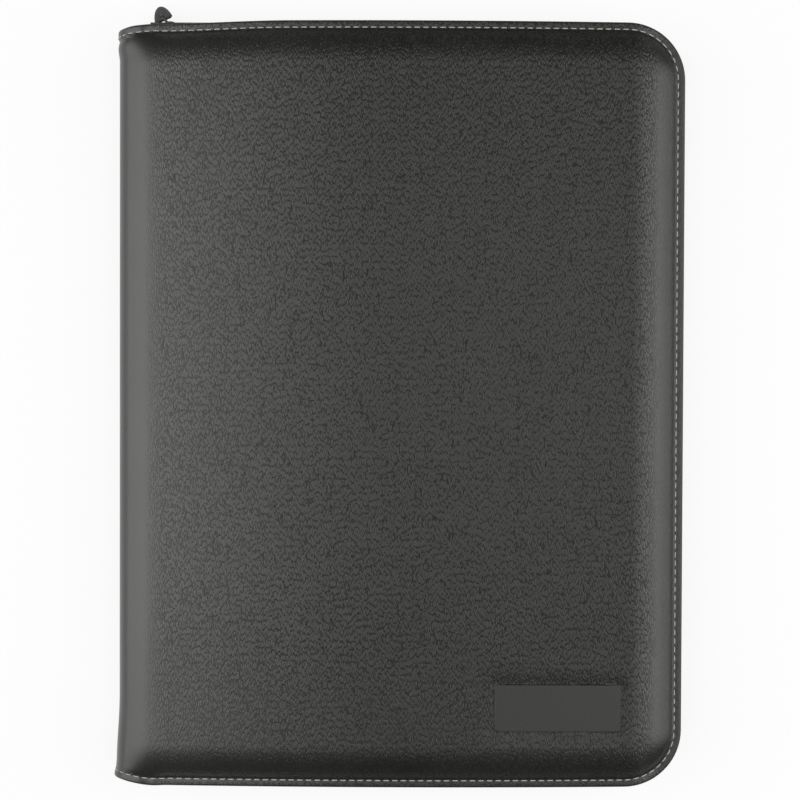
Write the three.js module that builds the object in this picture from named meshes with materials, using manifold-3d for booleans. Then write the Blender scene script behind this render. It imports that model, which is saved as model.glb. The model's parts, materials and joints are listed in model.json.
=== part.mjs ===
// A zip-around A4 business portfolio, closed and lying on its back cover. Millimetres, +Z up.
// The origin lies on the table under the middle of the covers. X runs from the spine to the
// opening edge, Y along the spine towards the top edge, and Z from the back cover to the front.
//
// The padded cover is drawn flat and then wrapped round the spine: s runs across the cover, y
// along the spine, and depth goes inwards from the padded outer face.

import * as THREE from 'three';
import { mergeVertices } from 'three/addons/utils/BufferGeometryUtils.js';
import Module from 'manifold-3d';

const wasm = await Module();
wasm.setup();

// The A4 writing pad and the room round it, which set the size of the covers
const padWidth = 210;
const padHeight = 297;
const padSpineGap = 12.5;
const padOpeningGap = 16;
const padEndGap = 23;

// Overall shape of the closed portfolio
const closedThickness = 27;
const cornerRadius = 25.5;
const edgeBow = 1;
const spineDrop = 2.4;
const spineDropWidth = 16;

// Build-up of one cover
const skinThickness = 1;
const boardThickness = 2;
const liningThickness = 0.8;
const panelLoft = 4.7;
const spineLoft = 0.4;
const spineSwell = 1.2;
const hemLand = 4;
const padRise = 16;
const turnInWidth = 6.5;
const hemRounding = 0.6;
const layerClearance = 0.3;
const boardInset = 10.5;
const boardSpineGap = 4.5;
const boardLeftRadius = 3;
const paddingInset = 12;
const paddingWrapAngle = 0.29;
const spineFoamThickness = 2.6;
const loftBlendWidth = 19;

// Creases between spine and covers
const foldGap = 0.4;
const liningFoldRelief = 0.7;

// Zipper wall between the two hems
const wallInset = 5;
const tapeThickness = 0.6;
const flangeSetback = 1.3;
const tapeEndClearance = 0.1;
const chainWidth = 6;
const beadHeight = 1.5;
const toothPitch = 3.6;
const toothThickness = 2.2;
const toothClearance = 0.3;
const stopLength = 1.8;
const stopThickness = 2.6;
const stopClearance = 0.2;

// Slider, link and pull tab
const sliderLength = 11;
const sliderFrontWidth = 10.4;
const sliderRearWidth = 9.4;
const sliderPlate = 1.2;
const sliderGap = 0.3;
const lipSlit = 1.4;
const wedgeLength = 4;
const crownWidth = 2.6;
const crownLength = 7.2;
const crownBar = 1.1;
const crownWindow = [4.6, 2.3];
const linkThickness = 1.2;
const linkBar = 1.4;
const linkReach = 3.8;
const linkWindowRadius = 1.7;
const linkAngle = THREE.MathUtils.degToRad(38);
const tabLength = 12.2;
const tabWidth = 9;
const tabThickness = 1.2;
const tabTaper = 16.2;
const tabHeel = 1.2;
const tabEye = 0.3;
const tabDroop = THREE.MathUtils.degToRad(43);
const tabYaw = THREE.MathUtils.degToRad(13);

// Thickness of the writing pad, and the pocket that holds its card
const cardThickness = 0.6;
const sheetsThickness = 3.3;
const bindingWidth = 7;
const bindingThickness = 0.3;
const pocketThickness = 0.7;
const pocketSeam = 4;
const pocketCorner = 8;
const padPocketReach = 243.5;
const padPocketMargin = 1.5;
const sheetRamp = 4;

// Pockets on the front lining
const documentMargin = 9;
const documentHeight = 220;
const cardPocketWidth = 96;
const cardPocketHeight = 70;
const cardPocketStep = 12;
const cardPocketFromLeft = 28;
const cardPocketDrop = 84.5;
const cardPanelThickness = 0.6;
const cardPocketGap = 0.3;
const cardSeam = 2.5;
const cardCorner = 4;
const cardPocketCount = 3;

// Elastic pen loop on the spine lining
const penLoopRadius = 5.7;
const penLoopThickness = 0.8;
const penLoopLength = 25;

// Blank plate near the lower right corner
const plateSize = [56, 20.6];
const plateFromRight = 56;
const plateFromBottom = 37.1;
const plateDepth = 0.5;
const plateThickness = 0.35;
const plateMargin = 0.3;
const plateCorner = 1.2;

// Fineness of the curved stretches
const wrapSteps = 4;
const spineSteps = 8;
const cornerSteps = 8;
const reliefSteps = 5;
const loopSteps = 28;

// Levels and lines that follow from the sizes above
const spineRadius = closedThickness / 2;
const coverWidth = spineRadius + padSpineGap + padWidth + padOpeningGap;
const coverHeight = padHeight + 2 * padEndGap;
const spineCentreX = -coverWidth / 2 + spineRadius;
const midHeight = closedThickness / 2;
const foldAngle = Math.PI / 4;
const foldLine = spineCentreX - spineRadius * foldAngle;
const hemThickness = 2 * skinThickness;
const liningSeat = closedThickness - panelLoft - hemThickness;
const liningFace = liningSeat - liningThickness;
const boardFace = liningSeat + boardThickness;
const cornerX = coverWidth / 2 - cornerRadius;
const cornerY = coverHeight / 2 - cornerRadius;
const wallY = coverHeight / 2 - wallInset;
const wallX = coverWidth / 2 - wallInset;
const wallRadius = cornerRadius - wallInset;
const tapeFlange = wallInset - tapeThickness / 2 - flangeSetback;
const chainEdge = midHeight + chainWidth / 2;
const beadFace = chainEdge - beadHeight;
const toothTip = midHeight - chainWidth / 2 + beadHeight + toothClearance;
const tapeEndX = spineCentreX + tapeEndClearance;
const rowStartX = tapeEndX + stopLength + stopClearance;
const sliderFrontX = rowStartX + stopClearance;
const sliderX = sliderFrontX + sliderLength / 2;
const wedgeFrontX = sliderFrontX + sliderPlate;
const teethStartX = wedgeFrontX + wedgeLength + toothClearance;
const channelHalf = toothThickness / 2 + sliderGap;
const sliderHalf = channelHalf + sliderPlate;
const padLeft = spineCentreX + padSpineGap;
const padRight = padLeft + padWidth;
const padHalf = padHeight / 2;
const padPocketTop = padPocketReach - padHalf;

// A list of loose triangles that becomes one closed geometry with its faces turned outwards
class Facets {
  constructor() {
    this.corners = [];
  }

  triangle(a, b, c) {
    this.corners.push(a, b, c);
  }

  quad(a, b, c, d) {
    this.triangle(a, b, c);
    this.triangle(a, c, d);
  }

  // Fills a loop of points in the loop's own direction, read in the flat drawing given beside it
  fill(points, drawing) {
    const triangles = THREE.ShapeUtils.triangulateShape(drawing, []);
    const areas = triangles.map((triangle) => THREE.ShapeUtils.area(triangle.map((i) => drawing[i])));
    const filled = areas.reduce((sum, area) => sum + area, 0);
    const sameWay = Math.sign(filled) === Math.sign(THREE.ShapeUtils.area(drawing));
    for (const [i, j, k] of triangles) {
      if (sameWay) this.triangle(points[i], points[j], points[k]);
      else this.triangle(points[i], points[k], points[j]);
    }
  }

  geometry(place = (point) => point) {
    const corners = this.corners.map((point) => place(point.clone()));
    let volume = 0;
    for (let i = 0; i < corners.length; i += 3) {
      volume += corners[i].dot(corners[i + 1].clone().cross(corners[i + 2]));
    }
    const order = volume > 0 ? [0, 1, 2] : [0, 2, 1];
    const values = [];
    for (let i = 0; i < corners.length; i += 3) {
      for (const step of order) values.push(...corners[i + step].toArray());
    }
    const geometry = new THREE.BufferGeometry();
    geometry.setAttribute('position', new THREE.Float32BufferAttribute(values, 3));
    return mergeVertices(geometry, 1e-4);
  }
}

// The back cover is the front cover mirrored through the middle of the closed portfolio
const onFront = (point) => point;
const onBack = (point) => point.setZ(closedThickness - point.z);

function smooth(t) {
  const clamped = THREE.MathUtils.clamp(t, 0, 1);
  return clamped * clamped * (3 - 2 * clamped);
}

// Share of the loft that is lost at a distance from the edge: 1 on the hem and 0 inside. The
// padding is fullest beside the hem.
function edgeFall(inset) {
  const share = THREE.MathUtils.clamp(1 - (inset - hemLand) / padRise, 0, 1);
  return 0.75 * share ** 2 + 0.25 * share ** 6;
}

// How far the hem lies below the padded face at s: deep on the panels, shallow on the spine
function loftAt(s) {
  return spineLoft + (panelLoft - spineLoft) * smooth((s - foldLine) / loftBlendWidth);
}

// Height of the top edge at s, at a distance inside it. The hem bows outwards a little, and is
// pulled in where it turns round the spine.
function edgeHeight(s, inset) {
  const bow = edgeBow * (s / (coverWidth / 2)) ** 2;
  const drop = spineDrop * smooth((spineCentreX + spineDropWidth / 4 - s) / spineDropWidth);
  return coverHeight / 2 - inset - bow - drop;
}

// Wraps a point of the flat cover drawing round the spine, which is a little wider than round
function wrap(s, y, depth) {
  const radius = spineRadius - depth;
  if (s >= spineCentreX) return new THREE.Vector3(s, y, midHeight + radius);
  const angle = (spineCentreX - s) / spineRadius;
  return new THREE.Vector3(
    spineCentreX - (radius + spineSwell) * Math.sin(angle),
    y,
    midHeight + radius * Math.cos(angle),
  );
}

// Outline of a cover at an inset, from the crease along the top, round the opening edge and back
function coverOutline(inset, leftEnd) {
  const points = [];
  for (let i = 0; i <= wrapSteps; i += 1) {
    const s = THREE.MathUtils.lerp(leftEnd, spineCentreX, i / wrapSteps);
    points.push([s, edgeHeight(s, inset)]);
  }
  const blendEnd = foldLine + loftBlendWidth;
  for (const s of [(spineCentreX + blendEnd) / 2, blendEnd, 0]) points.push([s, edgeHeight(s, inset)]);
  const radius = cornerRadius - inset;
  for (let i = 0; i <= cornerSteps; i += 1) {
    const angle = Math.PI / 2 * (1 - i / cornerSteps);
    const s = cornerX + radius * Math.cos(angle);
    const rise = edgeHeight(s, 0) - coverHeight / 2;
    points.push([s, cornerY + radius * Math.sin(angle) + rise]);
  }
  const mirrored = points.map(([s, y]) => [s, -y]).reverse();
  return [...points, ...mirrored];
}

// One layer of a cover. Each ring has an inset from the edge and a depth at each s; the first
// and the last ring are closed over, and the cut at the crease is filled in.
function coverLayer(rings, leftEnd) {
  const facets = new Facets();
  const grid = rings.map(({ inset, depth }) => (
    coverOutline(inset, leftEnd).map(([s, y]) => wrap(s, y, depth(s)))
  ));
  const last = grid[0].length - 1;
  for (let k = 0; k + 1 < grid.length; k += 1) {
    for (let j = 0; j < last; j += 1) {
      facets.quad(grid[k][j], grid[k][j + 1], grid[k + 1][j + 1], grid[k + 1][j]);
    }
  }
  const outer = grid[0];
  const inner = grid[grid.length - 1];
  for (let j = 0; 2 * j + 1 < last; j += 1) {
    facets.quad(outer[j + 1], outer[j], outer[last - j], outer[last - j - 1]);
    facets.quad(inner[j], inner[j + 1], inner[last - j - 1], inner[last - j]);
  }
  const drawing = edgeSection(rings, leftEnd);
  const cut = [...grid.map((ring) => ring[0]), ...grid.map((ring) => ring[last]).reverse()];
  facets.fill(cut, drawing);
  return facets;
}

// Section of a layer along the spine at s, as a closed loop of height and depth
function edgeSection(rings, s) {
  const top = rings.map(({ inset, depth }) => new THREE.Vector2(edgeHeight(s, inset), depth(s)));
  const bottom = top.map((point) => new THREE.Vector2(-point.x, point.y)).reverse();
  return [...top, ...bottom];
}

// Carries a section of height and depth round the spine from one crease to the other
function spineLayer(rings) {
  const drawing = edgeSection(rings, foldLine);
  const start = foldLine - foldGap / 2;
  const end = 2 * spineCentreX - Math.PI * spineRadius - start;
  const sections = [];
  for (let i = 0; i <= spineSteps; i += 1) {
    const s = THREE.MathUtils.lerp(start, end, i / spineSteps);
    sections.push(drawing.map((point) => wrap(s, point.x, point.y)));
  }
  return joinSections(sections, drawing);
}

// Joins a row of equal sections into one body with both ends filled in
function joinSections(sections, drawing) {
  const facets = new Facets();
  const count = drawing.length;
  for (let i = 0; i + 1 < sections.length; i += 1) {
    for (let m = 0; m < count; m += 1) {
      const next = (m + 1) % count;
      facets.quad(sections[i][m], sections[i + 1][m], sections[i + 1][next], sections[i][next]);
    }
  }
  facets.fill(sections[0], drawing);
  facets.fill([...sections.at(-1)].reverse(), [...drawing].reverse());
  return facets;
}

// Rings of the skin: down the padded face, round the hem, over the turn-in and back up inside
function skinRings() {
  const face = [];
  for (let i = 0; i <= reliefSteps; i += 1) {
    const inset = hemLand + padRise * (1 - i / reliefSteps);
    face.push({ inset, depth: (s) => loftAt(s) * edgeFall(inset) });
  }
  const hem = [
    [hemRounding, 0],
    [0, hemRounding],
    [0, hemThickness - hemRounding],
    [hemRounding, hemThickness],
    [turnInWidth, hemThickness],
  ].map(([inset, fall]) => ({ inset, depth: (s) => loftAt(s) + fall }));
  const step = { inset: turnInWidth, depth: (s) => loftAt(s) * edgeFall(turnInWidth) + skinThickness };
  const inside = face.slice(0, -1).reverse().map(({ inset, depth }) => (
    { inset, depth: (s) => depth(s) + skinThickness }
  ));
  return [...face, ...hem, step, ...inside];
}

// Rings of a foam sheet: its top follows the skin, and its underside has a depth of its own
function foamRings(underside) {
  const insets = [hemLand + padRise, (hemLand + padRise + paddingInset) / 2, paddingInset];
  const top = insets.map((inset) => (
    { inset, depth: (s) => loftAt(s) * edgeFall(inset) + skinThickness + layerClearance }
  ));
  return [...top, { inset: paddingInset, depth: underside }];
}

// Depth at s of the level plane on which the panel's foam rests
function boardLevelDepth(s) {
  const rise = boardFace - midHeight;
  const angle = Math.max(0, spineCentreX - s) / spineRadius;
  return spineRadius - rise / Math.cos(angle);
}

function toManifold(geometry) {
  const bare = geometry.clone();
  bare.deleteAttribute('normal');
  bare.deleteAttribute('uv');
  const merged = mergeVertices(bare, 1e-4);
  return new wasm.Manifold(new wasm.Mesh({
    numProp: 3,
    vertProperties: new Float32Array(merged.attributes.position.array),
    triVerts: new Uint32Array(merged.index.array),
  }));
}

function fromManifold(solid) {
  const { vertProperties, triVerts } = solid.getMesh();
  const geometry = new THREE.BufferGeometry();
  geometry.setAttribute('position', new THREE.BufferAttribute(vertProperties, 3));
  geometry.setIndex(new THREE.BufferAttribute(triVerts, 1));
  return geometry;
}

// A rectangle with one corner radius on the left and another on the right
function roundedRectangle(left, right, bottom, top, leftRadius, rightRadius = leftRadius) {
  const shape = new THREE.Shape();
  shape.moveTo(left + leftRadius, bottom);
  shape.absarc(right - rightRadius, bottom + rightRadius, rightRadius, -Math.PI / 2, 0);
  shape.absarc(right - rightRadius, top - rightRadius, rightRadius, 0, Math.PI / 2);
  shape.absarc(left + leftRadius, top - leftRadius, leftRadius, Math.PI / 2, Math.PI);
  shape.absarc(left + leftRadius, bottom + leftRadius, leftRadius, Math.PI, Math.PI * 1.5);
  return shape;
}

// A flat piece between two heights
function plate(shape, low, high, curveSegments = 6) {
  const options = { depth: high - low, bevelEnabled: false, curveSegments };
  return new THREE.ExtrudeGeometry(shape, options).translate(0, 0, low);
}

function box(left, right, front, back, low, high) {
  return new THREE.BoxGeometry(right - left, back - front, high - low)
    .translate((left + right) / 2, (front + back) / 2, (low + high) / 2);
}

// The lining ends in a slope along the crease and stays inside the zipper tape
function liningFacets() {
  const inset = wallInset + tapeThickness / 2 + layerClearance;
  const halfHeight = coverHeight / 2 - inset;
  const levels = [liningFace, liningSeat];
  const loops = levels.map((level) => {
    const left = spineCentreX - (level - midHeight) + liningFoldRelief;
    const right = coverWidth / 2 - inset;
    const shape = new THREE.Shape();
    const radius = cornerRadius - inset;
    shape.moveTo(left, -halfHeight);
    shape.absarc(right - radius, -halfHeight + radius, radius, -Math.PI / 2, 0);
    shape.absarc(right - radius, halfHeight - radius, radius, 0, Math.PI / 2);
    shape.lineTo(left, halfHeight);
    return shape.extractPoints(cornerSteps).shape;
  });
  const sections = loops.map((loop, i) => (
    loop.map((point) => new THREE.Vector3(point.x, point.y, levels[i]))
  ));
  return joinSections(sections, loops[0]);
}

// The zipper wall's centre line, from the spine along the top, round the opening edge and back
const wallSections = (() => {
  const straight = cornerX - tapeEndX;
  const bend = wallRadius * Math.PI / 2;
  const side = 2 * cornerY;
  const lengths = [straight, bend, side, bend, straight];
  let from = 0;
  return lengths.map((length, i) => {
    const section = { from, to: from + length, bent: i % 2 === 1 };
    from += length;
    return section;
  });
})();

// A point of the zipper wall: u along the centre line, offset outwards from it, and a height
function wallPoint(u, offset, height) {
  const [top, firstBend, side, secondBend] = wallSections;
  const radius = wallRadius + offset;
  if (u <= top.to) return new THREE.Vector3(tapeEndX + u, wallY + offset, height);
  if (u < firstBend.to) {
    const angle = Math.PI / 2 - (u - firstBend.from) / wallRadius;
    return new THREE.Vector3(cornerX + radius * Math.cos(angle), cornerY + radius * Math.sin(angle), height);
  }
  if (u <= side.to) {
    return new THREE.Vector3(cornerX + radius, cornerY - (u - side.from), height);
  }
  if (u < secondBend.to) {
    const angle = -(u - secondBend.from) / wallRadius;
    return new THREE.Vector3(cornerX + radius * Math.cos(angle), -cornerY + radius * Math.sin(angle), height);
  }
  return new THREE.Vector3(cornerX - (u - secondBend.to), -wallY - offset, height);
}

// The tape stands as the zipper wall and turns outwards under the hem, where it is sewn on
function tapeFacets() {
  const half = tapeThickness / 2;
  const drawing = [
    [-half, chainEdge],
    [half, chainEdge],
    [half, liningSeat - tapeThickness],
    [half + tapeFlange, liningSeat - tapeThickness],
    [half + tapeFlange, liningSeat],
    [-half, liningSeat],
  ].map(([offset, height]) => new THREE.Vector2(offset, height));
  const stations = [0];
  for (const { from, to, bent } of wallSections) {
    const steps = bent ? cornerSteps : 1;
    for (let i = 1; i <= steps; i += 1) stations.push(THREE.MathUtils.lerp(from, to, i / steps));
  }
  const sections = stations.map((u) => drawing.map((point) => wallPoint(u, point.x, point.y)));
  return joinSections(sections, drawing);
}

// One half of the zipper chain: a bead on the tape's edge with teeth that reach between the
// teeth of the other half. share places the tooth in its cell, 0 for the first half of the
// cell and 0.5 for the second. Cells fill each stretch of the wall evenly.
function toothRow(stretches, start, end, teethFrom, share) {
  const pieces = [];
  for (const { from, to, bent } of stretches) {
    const first = Math.max(from, start);
    const last = Math.min(to, end);
    const count = Math.round((to - from) / toothPitch);
    const pitch = (to - from) / count;
    const cells = Array.from({ length: count }, (_, i) => from + i * pitch);
    const toothed = cells.filter((cell) => cell >= teethFrom && cell + pitch <= last);
    const teeth = toothed.map((cell) => {
      const left = cell + share * pitch + toothClearance / 2;
      return [left, left + pitch / 2 - toothClearance];
    });
    if (bent) cells.forEach((cell, i) => pieces.push({ from: cell, to: cell + pitch, teeth: [teeth[i]] }));
    else pieces.push({ from: first, to: last, teeth });
  }
  return chainFacets(pieces);
}

// Closes a row of pieces, each with its own teeth, into one comb of even thickness
function chainFacets(pieces) {
  const facets = new Facets();
  const place = (point, offset) => wallPoint(point.x, offset, point.y);
  const half = toothThickness / 2;
  pieces.forEach(({ from, to, teeth }, index) => {
    const loop = [new THREE.Vector2(from, beadFace)];
    for (const [left, right] of teeth) {
      loop.push(new THREE.Vector2(left, beadFace), new THREE.Vector2(left, toothTip));
      loop.push(new THREE.Vector2(right, toothTip), new THREE.Vector2(right, beadFace));
    }
    loop.push(new THREE.Vector2(to, beadFace), new THREE.Vector2(to, chainEdge));
    loop.push(new THREE.Vector2(from, chainEdge));
    facets.fill(loop.map((point) => place(point, half)), loop);
    facets.fill([...loop].reverse().map((point) => place(point, -half)), [...loop].reverse());
    loop.forEach((point, i) => {
      const next = loop[(i + 1) % loop.length];
      const atEnd = point.x === to && next.x === to;
      const atStart = point.x === from && next.x === from;
      if (atEnd && index < pieces.length - 1) return;
      if (atStart && index > 0) return;
      facets.quad(place(next, half), place(point, half), place(point, -half), place(next, -half));
    });
  });
  return facets;
}

// A sewn-on pocket panel. Its seam on three sides stands on the lining or on the panel below.
function pocket({ left, right, bottom, top, corner, seam, panelLow, panelHigh, seat }) {
  const rimLow = Math.min(panelLow, seat);
  const rimHigh = Math.max(panelHigh, seat);
  const outline = new THREE.Shape();
  outline.moveTo(left, top);
  outline.lineTo(left, bottom + corner);
  outline.absarc(left + corner, bottom + corner, corner, Math.PI, Math.PI * 1.5);
  outline.absarc(right - corner, bottom + corner, corner, -Math.PI / 2, 0);
  outline.lineTo(right, top);
  const spaceLow = seat > panelHigh ? panelHigh : seat - seam;
  const spaceHigh = seat > panelHigh ? seat + seam : panelLow;
  const space = box(left + seam, right - seam, bottom + seam, top + seam, spaceLow, spaceHigh);
  return fromManifold(toManifold(plate(outline, rimLow, rimHigh)).subtract(toManifold(space)));
}

// Block of paper: the sheets lie on the pocket panel and reach down to the card above its edge
function sheetsGeometry(cardTop, panelTop) {
  const section = new THREE.Shape();
  section.moveTo(-padHalf, panelTop);
  section.lineTo(padPocketTop + layerClearance, panelTop);
  section.lineTo(padPocketTop + layerClearance + sheetRamp, cardTop);
  section.lineTo(padHalf, cardTop);
  section.lineTo(padHalf, panelTop + sheetsThickness);
  section.lineTo(-padHalf, panelTop + sheetsThickness);
  return alongX(section, padLeft, padRight);
}

// Extrudes a drawing of y and z along X
function alongX(shape, left, right) {
  const geometry = new THREE.ExtrudeGeometry(shape, { depth: right - left, bevelEnabled: false });
  const axes = new THREE.Matrix4().makeBasis(
    new THREE.Vector3(0, 1, 0),
    new THREE.Vector3(0, 0, 1),
    new THREE.Vector3(1, 0, 0),
  );
  return geometry.applyMatrix4(axes).translate(left, 0, 0);
}

// Extrudes a drawing of x and height along Y, from front to back
function alongY(shape, front, back, curveSegments = 5) {
  const options = { depth: back - front, bevelEnabled: false, curveSegments };
  return new THREE.ExtrudeGeometry(shape, options).rotateX(Math.PI / 2).translate(0, back, 0);
}

// The slider's plates in outline: broad at the front, where the two rows run apart
function sliderOutline() {
  const front = sliderX - sliderLength / 2;
  const rear = sliderX + sliderLength / 2;
  const wide = sliderFrontWidth / 2;
  const narrow = sliderRearWidth / 2;
  const shape = new THREE.Shape();
  shape.moveTo(front, midHeight - wide / 2);
  shape.quadraticCurveTo(front, midHeight - wide, front + wide / 2, midHeight - wide);
  shape.lineTo(rear - narrow / 2, midHeight - narrow);
  shape.quadraticCurveTo(rear, midHeight - narrow, rear, midHeight - narrow / 2);
  shape.lineTo(rear, midHeight + narrow / 2);
  shape.quadraticCurveTo(rear, midHeight + narrow, rear - narrow / 2, midHeight + narrow);
  shape.lineTo(front + wide / 2, midHeight + wide);
  shape.quadraticCurveTo(front, midHeight + wide, front, midHeight + wide / 2);
  return shape;
}

// The slider: two plates with lips over the chain, joined by the wedge that parts the rows, and
// a crown on the outer plate for the link
function sliderGeometry() {
  const block = toManifold(alongY(sliderOutline(), wallY - sliderHalf, wallY + sliderHalf));
  const reach = sliderLength;
  const channelHeight = chainWidth / 2 + sliderGap;
  const channel = toManifold(box(
    sliderX - reach,
    sliderX + reach,
    wallY - channelHalf,
    wallY + channelHalf,
    midHeight - channelHeight,
    midHeight + channelHeight,
  ));
  const slit = toManifold(box(
    sliderX - reach,
    sliderX + reach,
    wallY - lipSlit / 2,
    wallY + lipSlit / 2,
    midHeight - sliderFrontWidth,
    midHeight + sliderFrontWidth,
  ));
  const wedgeHalf = chainWidth / 2 - beadHeight - sliderGap;
  const wedge = new THREE.Shape();
  wedge.moveTo(wedgeFrontX + wedgeLength, midHeight);
  wedge.lineTo(wedgeFrontX + wedgeHalf, midHeight + wedgeHalf);
  wedge.absarc(wedgeFrontX + wedgeHalf, midHeight, wedgeHalf, Math.PI / 2, Math.PI * 1.5);
  const post = toManifold(alongY(wedge, wallY - channelHalf - sliderGap, wallY + channelHalf + sliderGap));
  return fromManifold(block.subtract(channel).subtract(slit).add(post).add(toManifold(crownGeometry())));
}

// The crown is an arch that stands on the outer plate and leaves a window for the link
function crownGeometry() {
  const base = wallY + sliderHalf;
  const [windowLength, windowHeight] = crownWindow;
  const half = crownLength / 2;
  const top = base + windowHeight + crownBar;
  const arch = new THREE.Shape();
  arch.moveTo(sliderX - half, base - sliderPlate / 2);
  arch.lineTo(sliderX + half, base - sliderPlate / 2);
  arch.lineTo(sliderX + half, base + windowHeight / 2);
  arch.quadraticCurveTo(sliderX + half, top, sliderX + windowLength / 2 - crownBar, top);
  arch.lineTo(sliderX - windowLength / 2 + crownBar, top);
  arch.quadraticCurveTo(sliderX - half, top, sliderX - half, base + windowHeight / 2);
  const left = sliderX - windowLength / 2;
  const right = sliderX + windowLength / 2;
  arch.holes.push(roundedRectangle(left, right, base, base + windowHeight, crownBar / 2));
  return plate(arch, midHeight - crownWidth / 2, midHeight + crownWidth / 2, 4);
}

// Extrudes a small casting evenly about its own middle, with softened edges
function casting(shape, thickness, curveSegments) {
  const softening = thickness / 6;
  return new THREE.ExtrudeGeometry(shape, {
    depth: thickness - 2 * softening,
    bevelThickness: softening,
    bevelSize: softening,
    bevelOffset: -softening,
    bevelSegments: 1,
    curveSegments,
  }).translate(0, 0, softening - thickness / 2);
}

// The link: a flat loop whose straight bar lies under the crown and whose round end is the
// ring on which the pull tab tilts. Local Y points away from the crown.
function linkGeometry() {
  const outer = linkWindowRadius + linkBar;
  const half = linkBar / 2;
  const shape = new THREE.Shape();
  shape.moveTo(-outer + half, -half);
  shape.lineTo(outer - half, -half);
  shape.quadraticCurveTo(outer, -half, outer, half);
  shape.lineTo(outer, linkReach);
  shape.absarc(0, linkReach, outer, 0, Math.PI);
  shape.lineTo(-outer, half);
  shape.quadraticCurveTo(-outer, -half, -outer + half, -half);
  const window = new THREE.Path();
  window.moveTo(-linkWindowRadius, half);
  window.lineTo(linkWindowRadius, half);
  window.lineTo(linkWindowRadius, linkReach);
  window.absarc(0, linkReach, linkWindowRadius, 0, Math.PI);
  shape.holes.push(window);
  return casting(shape, linkThickness, 5).rotateY(Math.PI / 2);
}

// The pull tab: an ellipse cut off at the heel, beside the eye. Local Y runs from the centre of the
// link's round end to the tip, and the eye's rim passes through the link.
function tabGeometry() {
  const centre = tabLength - tabTaper;
  const from = Math.asin((tabEye + tabHeel - centre) / tabTaper);
  const half = tabWidth / 2 * Math.cos(from);
  const shape = new THREE.Shape();
  shape.absellipse(0, centre, tabWidth / 2, tabTaper, from, Math.PI - from);
  shape.quadraticCurveTo(-half, tabEye, -half + tabHeel, tabEye);
  shape.lineTo(half - tabHeel, tabEye);
  shape.quadraticCurveTo(half, tabEye, half, tabEye + tabHeel);
  const eyeLow = linkWindowRadius - 1.5 * tabEye;
  const eyeHigh = linkWindowRadius + linkBar + tabEye;
  const eyeHalf = linkThickness / 2 + 2 * tabEye;
  shape.holes.push(roundedRectangle(-eyeHalf, eyeHalf, eyeLow, eyeHigh, eyeHalf / 2));
  return casting(shape, tabThickness, 5);
}

// A box-shaped stop crimped on the tape's end, between two heights
function stopGeometry(y, low, high) {
  const half = stopThickness / 2;
  return box(tapeEndX, tapeEndX + stopLength, y - half, y + half, low, high);
}

function finish(colour, roughness, metalness = 0) {
  return new THREE.MeshStandardMaterial({ color: colour, roughness, metalness });
}

const group = new THREE.Group();

function add(name, geometry, material, parent = group) {
  const mesh = new THREE.Mesh(geometry, material);
  mesh.name = name;
  parent.add(mesh);
}

const leather = 0x403f3b;
const foam = 0x2f2f31;
const greyBoard = 0x8d8474;
const liningCloth = 0x232325;
const tapeCloth = 0x1d1d1f;
const toothPlastic = 0x232324;
const gunmetal = 0x53514f;

// Outer skins, with the recess of the blank plate pressed into the front
const [plateWidth, plateHeight] = plateSize;
const plateX = coverWidth / 2 - plateFromRight;
const plateY = plateFromBottom - coverHeight / 2;
const plateFloor = closedThickness - plateDepth;

function plateOutline(margin) {
  const halfWidth = plateWidth / 2 + margin;
  const halfHeight = plateHeight / 2 + margin;
  const corner = plateCorner + margin;
  return roundedRectangle(
    plateX - halfWidth,
    plateX + halfWidth,
    plateY - halfHeight,
    plateY + halfHeight,
    corner,
  );
}

const skinLeft = foldLine + foldGap / 2;
const skin = coverLayer(skinRings(), skinLeft);
const recess = plate(plateOutline(plateMargin), plateFloor, closedThickness + plateDepth, 3);
const frontSkin = toManifold(skin.geometry(onFront)).subtract(toManifold(recess));
add('front_cover_skin', fromManifold(frontSkin), finish(leather, 0.5));
add('back_cover_skin', skin.geometry(onBack), finish(leather, 0.5));
add('spine_skin', spineLayer(skinRings()).geometry(), finish(leather, 0.5));
add('name_plate', plate(plateOutline(0), plateFloor, plateFloor + plateThickness, 3), finish(0x444440, 0.42));

// Foam under the skins
const panelFoam = coverLayer(foamRings(boardLevelDepth), spineCentreX - spineRadius * paddingWrapAngle);
add('front_padding', panelFoam.geometry(onFront), finish(foam, 0.95));
add('back_padding', panelFoam.geometry(onBack), finish(foam, 0.95));
const spineFoamDepth = skinThickness + layerClearance + spineFoamThickness;
add('spine_padding', spineLayer(foamRings(() => spineFoamDepth)).geometry(), finish(foam, 0.95));

// Stiff boards
const boardHalf = coverHeight / 2 - boardInset;
const boardShape = roundedRectangle(
  spineCentreX + boardSpineGap,
  coverWidth / 2 - boardInset,
  -boardHalf,
  boardHalf,
  boardLeftRadius,
  cornerRadius - boardInset,
);
add('front_board', plate(boardShape, liningSeat, boardFace), finish(greyBoard, 0.9));
const backBoardLow = closedThickness - boardFace;
add('back_board', plate(boardShape, backBoardLow, backBoardLow + boardThickness), finish(greyBoard, 0.9));

// Linings: flat on the covers and curved in the spine
const lining = liningFacets();
add('front_lining', lining.geometry(onFront), finish(liningCloth, 0.85));
add('back_lining', lining.geometry(onBack), finish(liningCloth, 0.85));
const spineLiningRadius = (liningSeat - midHeight) / Math.cos(foldAngle) - layerClearance;
const spineLiningInset = wallInset + tapeThickness / 2 + layerClearance;
const spineLiningRings = [
  { inset: spineLiningInset, depth: () => spineRadius - spineLiningRadius },
  { inset: spineLiningInset, depth: () => spineRadius - spineLiningRadius + liningThickness },
];
add('spine_lining', spineLayer(spineLiningRings).geometry(), finish(liningCloth, 0.85));

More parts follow.
